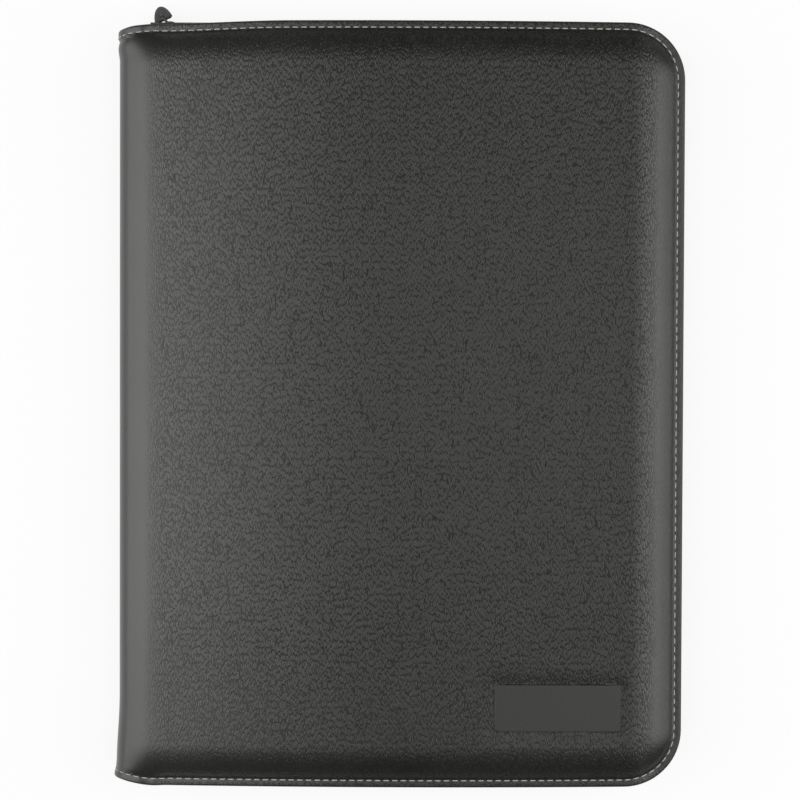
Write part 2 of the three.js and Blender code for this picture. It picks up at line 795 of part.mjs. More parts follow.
// Zipper: tapes, chain halves and stops
const tape = tapeFacets();
const topStretch = wallSections.slice(0, 1);
const otherStretches = wallSections.slice(1);
const rowStart = rowStartX - tapeEndX;
const rowEnd = wallSections.at(-1).to - rowStart;
const teethStart = teethStartX - tapeEndX;
for (const [side, place, share] of [['front', onFront, 0], ['back', onBack, 0.5]]) {
  const topRow = toothRow(topStretch, rowStart, rowEnd, teethStart, share);
  const otherRow = toothRow(otherStretches, 0, rowEnd, 0, share);
  add(`${side}_zipper_tape`, tape.geometry(place), finish(tapeCloth, 0.9));
  add(`${side}_teeth_top`, topRow.geometry(place), finish(toothPlastic, 0.4));
  add(`${side}_teeth_side`, otherRow.geometry(place), finish(toothPlastic, 0.4));
}
const stopInner = midHeight + chainWidth / 2 - beadHeight - stopClearance;
add('front_top_stop', stopGeometry(wallY, stopInner, chainEdge), finish(gunmetal, 0.35, 0.9));
add(
  'back_top_stop',
  stopGeometry(wallY, closedThickness - chainEdge, closedThickness - stopInner),
  finish(gunmetal, 0.35, 0.9),
);

add('bottom_stop', stopGeometry(-wallY, closedThickness - chainEdge, chainEdge), finish(gunmetal, 0.35, 0.9));

// Slider, link and pull tab. The link is turned towards the spine, and the tab droops from it,
// turned back a little. The tab's eye stands to one side, where the link passes through it.
add('slider_body', sliderGeometry(), finish(gunmetal, 0.35, 0.9));
const link = new THREE.Group();
link.position.set(sliderX, wallY + sliderHalf + crownWindow[1] / 2, midHeight);
link.rotation.z = linkAngle;
add('pull_link', linkGeometry(), finish(gunmetal, 0.35, 0.9), link);
const tab = new THREE.Group();
tab.position.set(0, linkReach, 0);
tab.rotation.set(-tabDroop, 0, -tabYaw, 'ZXY');
const eyeShift = (linkWindowRadius + linkBar / 2) * Math.sin(tabYaw) * Math.cos(tabDroop / 2);
add('pull_tab', tabGeometry().translate(-eyeShift, 0, 0), finish(gunmetal, 0.4, 0.8), tab);
link.add(tab);
group.add(link);

// Pockets on the front lining, each card pocket on the one before
const documentLow = liningFace - cardPocketGap - pocketThickness;
const documentLeft = spineCentreX + padSpineGap;
const documentBottom = documentMargin - wallY;
add('document_pocket', pocket({
  left: documentLeft,
  right: wallX - documentMargin,
  bottom: documentBottom,
  top: documentBottom + documentHeight,
  corner: pocketCorner,
  seam: pocketSeam,
  panelLow: documentLow,
  panelHigh: documentLow + pocketThickness,
  seat: liningFace,
}), finish(leather, 0.6));
const cardLeft = documentLeft + cardPocketFromLeft;
const cardBottom = documentBottom + documentHeight - cardPocketDrop;
let cardSeat = documentLow;
for (let i = 0; i < cardPocketCount; i += 1) {
  const panelHigh = cardSeat - cardPocketGap;
  const panelLow = panelHigh - cardPanelThickness;
  add(`card_pocket_${i + 1}`, pocket({
    left: cardLeft,
    right: cardLeft + cardPocketWidth,
    bottom: cardBottom,
    top: cardBottom + cardPocketHeight - i * cardPocketStep,
    corner: cardCorner,
    seam: cardSeam,
    panelLow,
    panelHigh,
    seat: cardSeat,
  }), finish(leather, 0.6));
  cardSeat = panelLow;
}

// Writing pad: its card slides behind the pad pocket, and its sheets lie in front of it
const padSeat = closedThickness - liningFace;
const cardTop = padSeat + cardThickness;
const panelLow = cardTop + layerClearance;
const panelTop = panelLow + pocketThickness;
const sheetsTop = panelTop + sheetsThickness;
add('pad_pocket', pocket({
  left: padLeft - padPocketMargin - pocketSeam,
  right: padRight + padPocketMargin + pocketSeam,
  bottom: -padHalf - padPocketMargin - pocketSeam,
  top: padPocketTop,
  corner: pocketCorner,
  seam: pocketSeam,
  panelLow,
  panelHigh: panelTop,
  seat: padSeat,
}), finish(leather, 0.6));
add('pad_backing_card', box(padLeft, padRight, -padHalf, padHalf, padSeat, cardTop), finish(0x9a8468, 0.9));
add('pad_sheets', sheetsGeometry(cardTop, panelTop), finish(0xf2f0ea, 0.9));
const bindingSection = new THREE.Shape();
bindingSection.moveTo(padHalf, padSeat);
bindingSection.lineTo(padHalf + bindingThickness, padSeat);
bindingSection.lineTo(padHalf + bindingThickness, sheetsTop + bindingThickness);
bindingSection.lineTo(padHalf - bindingWidth, sheetsTop + bindingThickness);
bindingSection.lineTo(padHalf - bindingWidth, sheetsTop);
bindingSection.lineTo(padHalf, sheetsTop);
add('pad_binding', alongX(bindingSection, padLeft, padRight), finish(0x2b2b2f, 0.6));

// Pen loop: an elastic ring sewn to the spine lining
const loopInner = penLoopRadius - penLoopThickness;
const loopHalf = penLoopLength / 2;
const loopProfile = [
  [loopInner, -loopHalf],
  [penLoopRadius, -loopHalf],
  [penLoopRadius, loopHalf],
  [loopInner, loopHalf],
  [loopInner, -loopHalf],
].map(([radius, y]) => new THREE.Vector2(radius, y));
const liningInnerRadius = spineLiningRadius - liningThickness;
const loopX = spineCentreX - spineSwell - liningInnerRadius + penLoopRadius + layerClearance;
const loop = new THREE.LatheGeometry(loopProfile, loopSteps).translate(loopX, 0, midHeight);
add('pen_loop', loop, finish(0x202022, 0.9));

export default group;
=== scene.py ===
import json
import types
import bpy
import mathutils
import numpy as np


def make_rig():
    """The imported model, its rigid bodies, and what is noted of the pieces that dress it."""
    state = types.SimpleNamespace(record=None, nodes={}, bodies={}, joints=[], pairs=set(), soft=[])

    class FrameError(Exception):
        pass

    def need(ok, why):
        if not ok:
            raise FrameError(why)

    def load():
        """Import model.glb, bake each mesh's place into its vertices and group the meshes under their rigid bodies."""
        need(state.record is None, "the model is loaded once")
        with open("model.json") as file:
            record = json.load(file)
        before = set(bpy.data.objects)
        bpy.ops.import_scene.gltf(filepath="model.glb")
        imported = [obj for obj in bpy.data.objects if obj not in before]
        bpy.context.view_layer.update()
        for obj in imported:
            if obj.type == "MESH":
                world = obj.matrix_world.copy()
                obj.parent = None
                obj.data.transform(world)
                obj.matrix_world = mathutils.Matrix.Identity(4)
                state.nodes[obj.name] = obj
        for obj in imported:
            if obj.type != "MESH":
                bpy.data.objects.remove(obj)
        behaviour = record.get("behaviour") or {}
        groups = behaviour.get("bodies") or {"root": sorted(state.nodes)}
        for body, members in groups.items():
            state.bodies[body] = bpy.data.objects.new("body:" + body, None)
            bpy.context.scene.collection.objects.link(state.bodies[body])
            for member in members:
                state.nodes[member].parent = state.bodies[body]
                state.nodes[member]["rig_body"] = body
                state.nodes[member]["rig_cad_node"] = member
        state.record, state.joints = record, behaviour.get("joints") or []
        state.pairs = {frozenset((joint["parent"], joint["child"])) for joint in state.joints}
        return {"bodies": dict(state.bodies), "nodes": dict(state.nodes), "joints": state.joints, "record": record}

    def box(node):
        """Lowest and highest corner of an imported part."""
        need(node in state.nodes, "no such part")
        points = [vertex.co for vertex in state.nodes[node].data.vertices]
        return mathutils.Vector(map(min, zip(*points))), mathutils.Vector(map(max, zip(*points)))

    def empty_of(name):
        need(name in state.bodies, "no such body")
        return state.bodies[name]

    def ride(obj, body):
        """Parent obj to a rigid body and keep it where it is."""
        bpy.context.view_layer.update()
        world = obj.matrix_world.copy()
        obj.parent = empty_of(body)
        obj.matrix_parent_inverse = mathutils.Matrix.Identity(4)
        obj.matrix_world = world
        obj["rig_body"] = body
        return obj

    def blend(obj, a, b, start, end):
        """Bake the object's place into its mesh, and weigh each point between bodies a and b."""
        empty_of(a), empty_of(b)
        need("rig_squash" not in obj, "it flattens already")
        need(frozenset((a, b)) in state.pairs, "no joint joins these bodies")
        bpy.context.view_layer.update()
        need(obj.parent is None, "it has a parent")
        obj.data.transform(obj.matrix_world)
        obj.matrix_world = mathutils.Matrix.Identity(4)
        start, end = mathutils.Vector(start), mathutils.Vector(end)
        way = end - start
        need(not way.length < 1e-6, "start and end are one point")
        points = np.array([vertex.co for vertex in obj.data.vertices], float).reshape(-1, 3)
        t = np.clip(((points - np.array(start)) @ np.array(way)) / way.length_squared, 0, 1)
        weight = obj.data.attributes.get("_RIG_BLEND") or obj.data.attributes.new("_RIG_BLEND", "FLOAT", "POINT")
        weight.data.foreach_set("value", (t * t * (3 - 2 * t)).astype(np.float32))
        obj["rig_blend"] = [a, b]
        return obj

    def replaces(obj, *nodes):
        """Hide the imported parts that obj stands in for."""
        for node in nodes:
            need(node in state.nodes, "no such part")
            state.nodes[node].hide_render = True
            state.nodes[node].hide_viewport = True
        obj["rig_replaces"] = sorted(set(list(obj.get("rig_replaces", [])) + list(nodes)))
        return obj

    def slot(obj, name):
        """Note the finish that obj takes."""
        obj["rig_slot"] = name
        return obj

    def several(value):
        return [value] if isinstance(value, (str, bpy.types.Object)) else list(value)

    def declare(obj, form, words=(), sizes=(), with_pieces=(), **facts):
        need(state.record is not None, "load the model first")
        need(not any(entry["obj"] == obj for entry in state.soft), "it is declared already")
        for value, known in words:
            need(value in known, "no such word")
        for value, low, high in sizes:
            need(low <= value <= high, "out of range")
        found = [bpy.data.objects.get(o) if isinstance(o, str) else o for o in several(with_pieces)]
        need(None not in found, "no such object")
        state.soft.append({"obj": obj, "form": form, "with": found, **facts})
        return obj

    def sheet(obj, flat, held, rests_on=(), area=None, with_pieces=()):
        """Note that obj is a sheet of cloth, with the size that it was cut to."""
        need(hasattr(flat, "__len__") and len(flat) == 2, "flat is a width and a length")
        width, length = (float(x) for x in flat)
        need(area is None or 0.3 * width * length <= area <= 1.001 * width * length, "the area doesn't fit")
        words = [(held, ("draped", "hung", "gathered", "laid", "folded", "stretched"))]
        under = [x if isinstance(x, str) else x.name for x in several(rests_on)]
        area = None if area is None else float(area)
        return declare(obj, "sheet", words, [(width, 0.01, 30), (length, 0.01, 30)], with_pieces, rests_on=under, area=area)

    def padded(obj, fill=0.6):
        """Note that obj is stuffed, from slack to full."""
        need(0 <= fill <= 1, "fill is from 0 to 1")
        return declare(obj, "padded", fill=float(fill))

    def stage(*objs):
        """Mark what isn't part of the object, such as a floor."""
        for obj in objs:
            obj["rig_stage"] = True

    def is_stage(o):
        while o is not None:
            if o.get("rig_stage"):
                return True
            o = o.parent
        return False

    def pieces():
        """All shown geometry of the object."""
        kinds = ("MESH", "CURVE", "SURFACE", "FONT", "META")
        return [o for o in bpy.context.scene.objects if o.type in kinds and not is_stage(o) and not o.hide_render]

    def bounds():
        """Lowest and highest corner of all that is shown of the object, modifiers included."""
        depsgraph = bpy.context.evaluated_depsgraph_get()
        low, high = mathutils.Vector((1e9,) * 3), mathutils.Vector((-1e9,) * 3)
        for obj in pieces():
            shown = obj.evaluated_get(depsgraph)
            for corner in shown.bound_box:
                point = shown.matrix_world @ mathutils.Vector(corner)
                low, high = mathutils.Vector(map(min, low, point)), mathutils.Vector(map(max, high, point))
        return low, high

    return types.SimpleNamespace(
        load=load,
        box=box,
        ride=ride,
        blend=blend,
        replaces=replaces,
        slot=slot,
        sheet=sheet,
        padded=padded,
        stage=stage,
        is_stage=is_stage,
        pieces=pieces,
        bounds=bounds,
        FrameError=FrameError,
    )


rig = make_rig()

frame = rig.load()

# A closed zip-around A4 business portfolio lying on its back cover. Metres, +Z up, in the frame of
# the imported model: X from the spine to the opening edge, Y along the spine towards the zip pull.
#
# The padded leatherette is drawn flat and then carried round the spine: s runs across a cover, y
# along the spine, inset inwards from the cover's edge and depth inwards from the padded face.

import json
import math
from functools import partialmethod

import bmesh
import bpy
import numpy as np

cad_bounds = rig.bounds()
MM = 0.001

# Overall sizes, from the frame
SKIN_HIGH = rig.box("front_cover_skin")[1]
PLATE_LOW, PLATE_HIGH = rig.box("name_plate")
THICKNESS = SKIN_HIGH.z
HALF_WIDTH = SKIN_HIGH.x
HALF_HEIGHT = 171.5 * MM
SPINE_RADIUS = THICKNESS / 2
SPINE_X = -HALF_WIDTH + SPINE_RADIUS
SPINE_MIDDLE = SPINE_X - SPINE_RADIUS * math.pi / 2
FOLD_LINE = SPINE_X - SPINE_RADIUS * math.pi / 4

# Padded cover and stitched hem
CORNER_RADIUS = 25.5 * MM
CORNER_X = HALF_WIDTH - CORNER_RADIUS
CORNER_Y = HALF_HEIGHT - CORNER_RADIUS
EDGE_BOW = 1 * MM
SPINE_DROP = 2.4 * MM
SPINE_DROP_WIDTH = 16 * MM
TOP_SAG = 1.4 * MM
SKIN_THICKNESS = 1 * MM
PANEL_LOFT = 4.7 * MM
SPINE_LOFT = 0.4 * MM
LOFT_BLEND = 19 * MM
HEM_LAND = 4 * MM
PAD_RISE = 16 * MM
FLAT_INSET = HEM_LAND + PAD_RISE
HEM_THICKNESS = 2 * SKIN_THICKNESS
HEM_ROUND = 0.9 * MM
TURN_IN = 6.5 * MM
STITCH_INSET = 3.25 * MM
STITCH_PITCH, SEAM_PITCH = 3.87 * MM, 3.4 * MM
UPPER_ROW_SUNK, UNDER_ROW_RAISED = 0.12 * MM, 0.1 * MM

# A stitch's length, width and height, and how deep its ends dive
HEM_THREAD = MM * np.array([3.15, 0.52, 0.42, 0.3])
SEAM_THREAD = MM * np.array([2.4, 0.5, 0.34, 0.2])

# Swell of the spine: an even one, a bulge beside the top hem, and heights in millimetres that are
# reached between two places along Y
SPINE_SWELL = 1.2 * MM
BULGE_HEIGHT, BULGE_Y, BULGE_WIDTH = 0.8 * MM, 160.2 * MM, 3.5 * MM
SWELL_STEPS = ((1, 163.2, 164.7), (1.9, -130, -172), (1.2, -160, -170))

# Recess of the blank plate, and the shallow sinking round it
PLATE_MARGIN = 0.3 * MM
PLATE_DEPTH = 0.5 * MM
PLATE_CORNER = 1.2 * MM
PLATE_EDGE = 0.16 * MM
SINK_DEPTH = 0.62 * MM
SINK_WIDTH = 5.5 * MM
RECESS_STEPS = MM * np.array([-1.2, -0.7, -0.35, -0.15, 0, 0.15, 0.4, 0.8, 1.3])
RECESS_LOW = np.array(PLATE_LOW.xy) - PLATE_MARGIN
RECESS_HIGH = np.array(PLATE_HIGH.xy) + PLATE_MARGIN

# Share of the grain left on the spine, and lost on the opening edge's roll, near the spine and near
# the bottom. Polish of the face, and what the bend, the spine, the roll and its foot add.
SPINE_GRAIN = 0.12
ROLL_LOSS, NEAR_SPINE_LOSS, NEAR_BOTTOM_LOSS = 0.72, 0.32, 0.3
FACE_POLISH, POLISH_REACH = 0.44, 110 * MM
BEND_POLISH, SPINE_POLISH, ROLL_POLISH, FOOT_POLISH = 0.48, -0.2, 0.34, -0.22

# Part of the spine's arc over which soft pieces bend from the spine to a cover
BEND_START = (-HALF_WIDTH, 0, SPINE_RADIUS)
BEND_END = {"front": (SPINE_X, 0, THICKNESS), "back": (SPINE_X, 0, 0)}


def smooth(t):
    """Smoothstep: 0 below 0, 1 above 1 and 3t^2 - 2t^3 between."""
    t = np.clip(t, 0, 1)
    return t * t * (3 - 2 * t)


def ramp(x, start, end):
    """A smoothstep from 0 at start to 1 at end, which are in millimetres."""
    return smooth((x - start * MM) / ((end - start) * MM))


def bump_curve(x, centre, width):
    """A bell of height 1: exp(-((x - centre) / width)^2)."""
    return np.exp(-(((x - centre) / width) ** 2))


def signed_power(value, power):
    """A value's size raised to a power, with the value's sign."""
    return np.sign(value) * np.abs(value) ** power


def full_turn(count):
    """Angles of a whole turn in count equal steps."""
    return np.linspace(0, 2 * math.pi, count, endpoint=False)


def superellipse(turn, power):
    """Both coordinates of a unit superellipse at angles; a power below 1 squares it."""
    return signed_power(np.cos(turn), power), signed_power(np.sin(turn), power)


def together(*arrays):
    """Arrays put together along a new last axis, such as coordinates into points."""
    return np.stack(np.broadcast_arrays(*arrays), axis=-1)


def unit(vectors):
    """Vectors of length 1."""
    return vectors / np.linalg.norm(vectors, axis=-1, keepdims=True)


def run_along(line):
    """Length run along a line at each of its points."""
    return np.concatenate([[0], np.cumsum(np.linalg.norm(np.diff(line, axis=0), axis=1))])


def at_run(line, run, where):
    """A line's points at lengths run along it."""
    return together(*[np.interp(where, run, column) for column in line.T])


def loft(s):
    """How deep the hem lies under the padded face at s: shallow on the spine, full on the covers."""
    return SPINE_LOFT + (PANEL_LOFT - SPINE_LOFT) * smooth((s - FOLD_LINE) / LOFT_BLEND)


def fall(inset):
    """Share of the loft lost at an inset: u squared and u to the sixth, with u from 0 on the face to 1
    at the hem, so that the padding is fullest beside the stitches."""
    u = np.clip(1 - (inset - HEM_LAND) / PAD_RISE, 0, 1)
    return 0.75 * u**2 + 0.25 * u**6


def bow(s):
    """The top and bottom edges bow outwards: the edge drops with the square of s, and by a smoothstep
    more where it turns round the spine."""
    drop = smooth((SPINE_X + SPINE_DROP_WIDTH / 4 - s) / SPINE_DROP_WIDTH)
    return EDGE_BOW * (s / HALF_WIDTH) ** 2 + SPINE_DROP * drop


def wrap(s, y, depth):
    """Carries the flat cover round the spine: level right of the spine's axis, and left of it on an
    oval at the angle s / radius. The oval swells, and the top edge sags towards the spine."""
    sag = ramp(s, -50, -110) * ramp(y, 60, 170) * (1 - 0.5 * smooth((SPINE_X - s) / (9 * MM)))
    swell = SPINE_SWELL + BULGE_HEIGHT * bump_curve(y, BULGE_Y, BULGE_WIDTH)
    for height, start, end in SWELL_STEPS:
        swell = swell + height * MM * ramp(y, start, end)
    radius = SPINE_RADIUS - depth
    angle = np.maximum(SPINE_X - s, 0) / SPINE_RADIUS
    x = np.maximum(s, SPINE_X) - (radius + swell) * np.sin(angle)
    return together(x, y - TOP_SAG * sag, SPINE_RADIUS + radius * np.cos(angle))


def to_back(points):
    """The back cover is the front cover mirrored through the middle of the closed portfolio."""
    return points * (1, 1, -1) + (0, 0, THICKNESS)


def grid_quads(rows, columns, loop=False, ring=False):
    """Corner numbers of the quads of a grid numbered row by row; loop joins its last column to its
    first, and ring its last row to its first."""
    index = np.arange(rows * columns).reshape(rows, columns)
    if ring:
        index = np.vstack([index, index[:1]])
    if loop:
        index = np.column_stack([index, index[:, 0]])
    corners = index[:-1, :-1], index[:-1, 1:], index[1:, 1:], index[1:, :-1]
    return together(*corners).reshape(-1, 4)


def body_faces(rows, columns, count=1):
    """Faces of count bodies, each a row of closed sections with both ends filled in."""
    size = rows * columns
    start = size * np.arange(count)[:, None, None]
    sides = (grid_quads(rows, columns, loop=True)[None] + start).reshape(-1, 4)
    ends = np.stack([np.arange(columns)[::-1], size - columns + np.arange(columns)])
    ends = (ends[None] + start).reshape(-1, columns)
    return sides.tolist() + ends.tolist()


def tube(points, closed=False):
    """Points and faces of a row of closed sections, which is closed itself or has filled ends."""
    shape = points.shape[:2]
    faces = grid_quads(*shape, loop=True, ring=True).tolist() if closed else body_faces(*shape)
    return points.reshape(-1, 3), faces


def add_object(name, data):
    """A new object in the scene."""
    piece = bpy.data.objects.new(name, data)
    bpy.context.scene.collection.objects.link(piece)
    return piece


def add_piece(name, points, faces, finish, uv=None, values=None):
    """A new piece from an array of points and lists of corner numbers, with its faces turned
    outwards, a UV map for each point and named values for each point."""
    mesh = bpy.data.meshes.new(name)
    mesh.from_pydata(np.asarray(points).reshape(-1, 3).tolist(), [], faces)
    shell = bmesh.new()
    shell.from_mesh(mesh)
    bmesh.ops.recalc_face_normals(shell, faces=shell.faces)
    shell.to_mesh(mesh)
    shell.free()
    mesh.shade_smooth()
    mesh.set_sharp_from_angle(angle=math.radians(40))
    if uv is not None:
        corner = np.empty(len(mesh.loops), int)
        mesh.loops.foreach_get("vertex_index", corner)
        layer = mesh.uv_layers.new(name="Run")
        layer.uv.foreach_set("vector", np.asarray(uv).reshape(-1, 2)[corner].ravel())
    for key, value in (values or {}).items():
        attribute = mesh.attributes.new(key, "FLOAT", "POINT")
        attribute.data.foreach_set("value", np.asarray(value, np.float32).ravel())
    mesh.materials.append(finish)
    return add_object(name, mesh)


def bend(piece, side):
    """The piece bends from the spine to the front or back cover."""
    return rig.blend(piece, "spine", f"{side}_cover", start=BEND_START, end=BEND_END[side])


def carry(piece, slot, node, body):
    """The piece replaces a node and moves with a body."""
    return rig.ride(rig.replaces(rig.slot(piece, slot), node), body)


def stations(low, high, step, fine=()):
    """Even steps from low to high, and the finer places where a detail needs them."""
    even = np.linspace(low, high, round((high - low) / step) + 1)
    fine = np.asarray(fine, float)
    if fine.size:
        clear = np.abs(even[:, None] - fine).min(axis=1) > step / 5
        clear[[0, -1]] = True
        even = even[clear]
    return np.unique(np.concatenate([even, fine]))


# Stations across and along the cover, finer on the spine and round the recess of the plate
SPINE_END = FOLD_LINE + 20 * MM
TOP_STATIONS = np.unique(np.concatenate([
    SPINE_MIDDLE + MM * np.array([0, 0.12, 0.4, 1]),
    stations(SPINE_MIDDLE + 2 * MM, SPINE_END, 1.1 * MM),
    stations(SPINE_END, CORNER_X, 3 * MM,
             np.concatenate([RECESS_LOW[0] + RECESS_STEPS, RECESS_HIGH[0] - RECESS_STEPS])),
]))
CORNER_STEPS = 20
ROW_LIMIT = 146.2 * MM
ROWS = stations(
    -ROW_LIMIT, ROW_LIMIT, 3.4 * MM,
    np.concatenate([RECESS_LOW[1] + RECESS_STEPS[1:], RECESS_HIGH[1] - RECESS_STEPS]),
)[::-1]


def edge_path(inset):
    """The line at an inset from the cover's edge, as s and y: along the top from the middle of the
    spine and round the corner as a circular arc. The bottom is its mirror image."""
    angle = np.linspace(math.pi / 2, 0, CORNER_STEPS + 1)[1:]
    radius = CORNER_RADIUS - inset
    s = np.concatenate([TOP_STATIONS, CORNER_X + radius * np.cos(angle)])
    straight = np.full(len(TOP_STATIONS), HALF_HEIGHT - inset)
    return s, np.concatenate([straight, CORNER_Y + radius * np.sin(angle)]) - bow(s)


def flat_grid():
    """The padded face inside the rolls, as s and y on a grid: each column joins a point of the top
    line to its mirror image, with rows at fixed heights that close up only in the corners."""
    s, y = edge_path(FLAT_INSET)
    scale = np.minimum(1, (y - 0.3 * MM) / ROW_LIMIT)
    rows = np.concatenate([y[None], ROWS[:, None] * scale, -y[None]])
    return np.broadcast_to(s, rows.shape), rows


def round_path(inset):
    """The whole line at an inset, as s and y: the top, the opening edge, and the bottom back to the
    spine. The points on the opening edge keep their share of its length."""
    s, y = edge_path(inset)
    _, rows = flat_grid()
    share = rows[1:-1, -1] / rows[0, -1]
    side = np.full(len(share), s[-1])
    return np.concatenate([s, side, s[::-1]]), np.concatenate([y, share * y[-1], -y[::-1]])


def rounded_distance(across, along, radius):
    """Signed distance to a rectangle with round corners, from the distances past the corners' middles
    in both directions."""
    outside = np.hypot(np.maximum(across, 0), np.maximum(along, 0))
    return outside + np.minimum(np.maximum(across, along), 0) - radius


def recess(s, y):
    """Depth of the plate's recess: full inside a rectangle with round corners, with a smoothstep over
    the signed distance to its edge, and a shallow puckered sinking of the padding round it."""
    radius = PLATE_CORNER + PLATE_MARGIN
    centre, half = (RECESS_LOW + RECESS_HIGH) / 2, (RECESS_HIGH - RECESS_LOW) / 2 - radius
    across, along = np.abs(s - centre[0]) - half[0], np.abs(y - centre[1]) - half[1]
    distance = rounded_distance(across, along, radius)
    wall_depth = PLATE_DEPTH * (1 - ramp(distance, -0.05, 0.25))
    sink = SINK_DEPTH * (1 - smooth(distance / SINK_WIDTH))
    pucker = 1 + 0.15 * np.sin(s / (1.9 * MM)) * np.sin(y / (2.3 * MM) + s / (5 * MM))
    return np.where(distance > 0, np.maximum(wall_depth, sink * pucker), wall_depth)


def hem_relief(inset):
    """Extra depth of the hem: a dip where the stitches pull it in, and a low one beside the roll."""
    dip = 0.3 * MM * bump_curve(inset, STITCH_INSET, 0.6 * MM)
    return dip + 0.08 * MM * bump_curve(inset, HEM_LAND + 0.6 * MM, 0.5 * MM)


def outer_rings():
    """Rings of the skin from the face over the roll, the hem and its rounded edge to the turn-in:
    an inset for each, and its depth as a function of s."""
    roll = FLAT_INSET - PAD_RISE * np.linspace(0, 1, 17) ** 0.8
    band = np.linspace(HEM_LAND, HEM_ROUND, 13)[1:]
    top = [(inset, lambda s, i=inset: loft(s) * fall(i) + hem_relief(i)) for inset in (*roll, *band)]
    edge = [
        (HEM_ROUND * (1 - math.sin(a)), HEM_THICKNESS / 2 * (1 - math.cos(a)))
        for a in np.linspace(0, math.pi, 9)[1:]
    ]
    edge += [(inset, HEM_THICKNESS) for inset in np.linspace(HEM_ROUND, TURN_IN, 5)[1:]]
    return top + [(inset, lambda s, d=drop: loft(s) + d) for inset, drop in edge]


def inner_rings():
    """Rings of the skin's inside, from the turn-in back up under the padding."""
    insets = np.linspace(TURN_IN, FLAT_INSET, 7)
    return [(i, lambda s, i=i: loft(s) * fall(i) + SKIN_THICKNESS) for i in insets]


def grain_strength(s, y):
    """The grain is stretched smooth over the spine and on the roll of the opening edge, and is a
    little shallower near the spine and the bottom."""
    spine = smooth((s - SPINE_X + 4 * MM) / (14 * MM))
    roll = 1 - ROLL_LOSS * smooth((s - HALF_WIDTH + 20 * MM) / (10 * MM))
    near_spine = 1 - NEAR_SPINE_LOSS * ramp(s, -20, -100)
    near_bottom = 1 - NEAR_BOTTOM_LOSS * ramp(y, -100, -150)
    return (SPINE_GRAIN + (1 - SPINE_GRAIN) * spine) * roll * near_spine * near_bottom


def polish(s):
    """How glossy the leather is: most where it is drawn over the bend, less towards the middle, and
    again a little more where it is drawn over the roll of the opening edge."""
    inwards = np.clip((s - SPINE_X) / POLISH_REACH, 0, 1)
    level = FACE_POLISH + BEND_POLISH * (1 - inwards) ** 1.5
    level = level + SPINE_POLISH * smooth((SPINE_X - s) / (10 * MM))
    return level + ROLL_POLISH * ramp(s, 101, 109) + FOOT_POLISH * ramp(s, 112.5, 118.5)


def plain_face(s, y):
    """Depth of a face without a recess: hardly visible waves of the padding."""
    return 0.02 * MM * (1 + np.sin(s / (17 * MM) + 1) * np.sin(y / (23 * MM)))


def front_face(s, y):
    """Depth of the front's face: the waves of the padding and the recess of the plate."""
    return np.maximum(plain_face(s, y), recess(s, y))


def skin(pressed):
    """The skin of one cover and half the spine, with pressed(s, y) as its face's depth: points, faces,
    a UV map of stitches run along the hem and millimetres of inset, and grain and polish."""
    s, y = flat_grid()
    rows, columns = s.shape
    index = np.arange(rows * columns).reshape(rows, columns)
    border = np.concatenate([index[0], index[1:-1, -1], index[-1, ::-1]])
    middle = (outer_rings() + inner_rings())[1:-1]
    path = [round_path(inset) for inset, _ in middle]
    points = [wrap(s, y, pressed(s, y)).reshape(-1, 3)]
    points += [wrap(ps, py, depth(ps)) for (ps, py), (_, depth) in zip(path, middle)]
    points.append(wrap(s, y, SKIN_THICKNESS).reshape(-1, 3))

    outer_size, ring_size = rows * columns, len(border)
    first_inner = outer_size + ring_size * len(middle)
    own = outer_size + np.arange(ring_size * len(middle)).reshape(len(middle), ring_size)
    ring_index = np.concatenate([border[None], own, first_inner + border[None]])
    strips = ring_index.ravel()[grid_quads(*ring_index.shape)]
    face = grid_quads(rows, columns)
    low, high = index[:-1, 0], index[1:, 0]
    cut = together(low, high, first_inner + high, first_inner + low)
    faces = np.concatenate([face, face[:, ::-1] + first_inner, strips, cut]).tolist()
    faces += [ring_index[:, 0].tolist(), ring_index[::-1, -1].tolist()]

    hem_s, hem_y = round_path(STITCH_INSET)
    run = run_along(wrap(hem_s, hem_y, loft(hem_s)))
    stitches = run / run[-1] * round(run[-1] / STITCH_PITCH)
    flat = together(s.ravel() * 0, FLAT_INSET / MM)
    hem = [together(stitches, i / MM) for i, _ in middle]
    every_s = np.concatenate([s.ravel(), *[ps for ps, _ in path], s.ravel()])
    every_y = np.concatenate([y.ravel(), *[py for _, py in path], y.ravel()])
    values = {"grain": grain_strength(every_s, every_y), "polish": polish(every_s)}
    return np.concatenate(points), faces, np.concatenate([flat, *hem, flat]), values


def stitches_along(line, outwards, pitch, thread):
    """Sewn stitches along a line with a direction outwards at each point: threads of oval section,
    bent along the line, that dive into the cloth by the fourth power of the way from their middle. Six
    sections of six corners each, and a UV map of the way along a stitch and round it."""
    length, width, height, sink = thread
    run = run_along(line)
    count = round(run[-1] / pitch)
    along = np.linspace(-1, 1, 6)
    where = (np.arange(count)[:, None] + 0.5) * run[-1] / count + along * length / 2
    centre, up = at_run(line, run, where), unit(at_run(outwards, run, where))
    side = np.cross(unit(np.gradient(centre, axis=1)), up)
    turn = full_turn(6)
    swell = np.sqrt(1 - 0.9 * np.abs(along) ** 3)[:, None]
    across = width / 2 * np.cos(turn) * swell
    raised = height / 2 * np.sin(turn) * swell - sink * np.abs(along[:, None]) ** 4
    points = centre[:, :, None] + side[:, :, None] * across[..., None]
    points = points + up[:, :, None] * raised[..., None]
    uv = together(along[:, None], turn / math.pi, points[..., 0])[..., :2]
    return points.reshape(-1, 3), body_faces(6, 6, count), uv


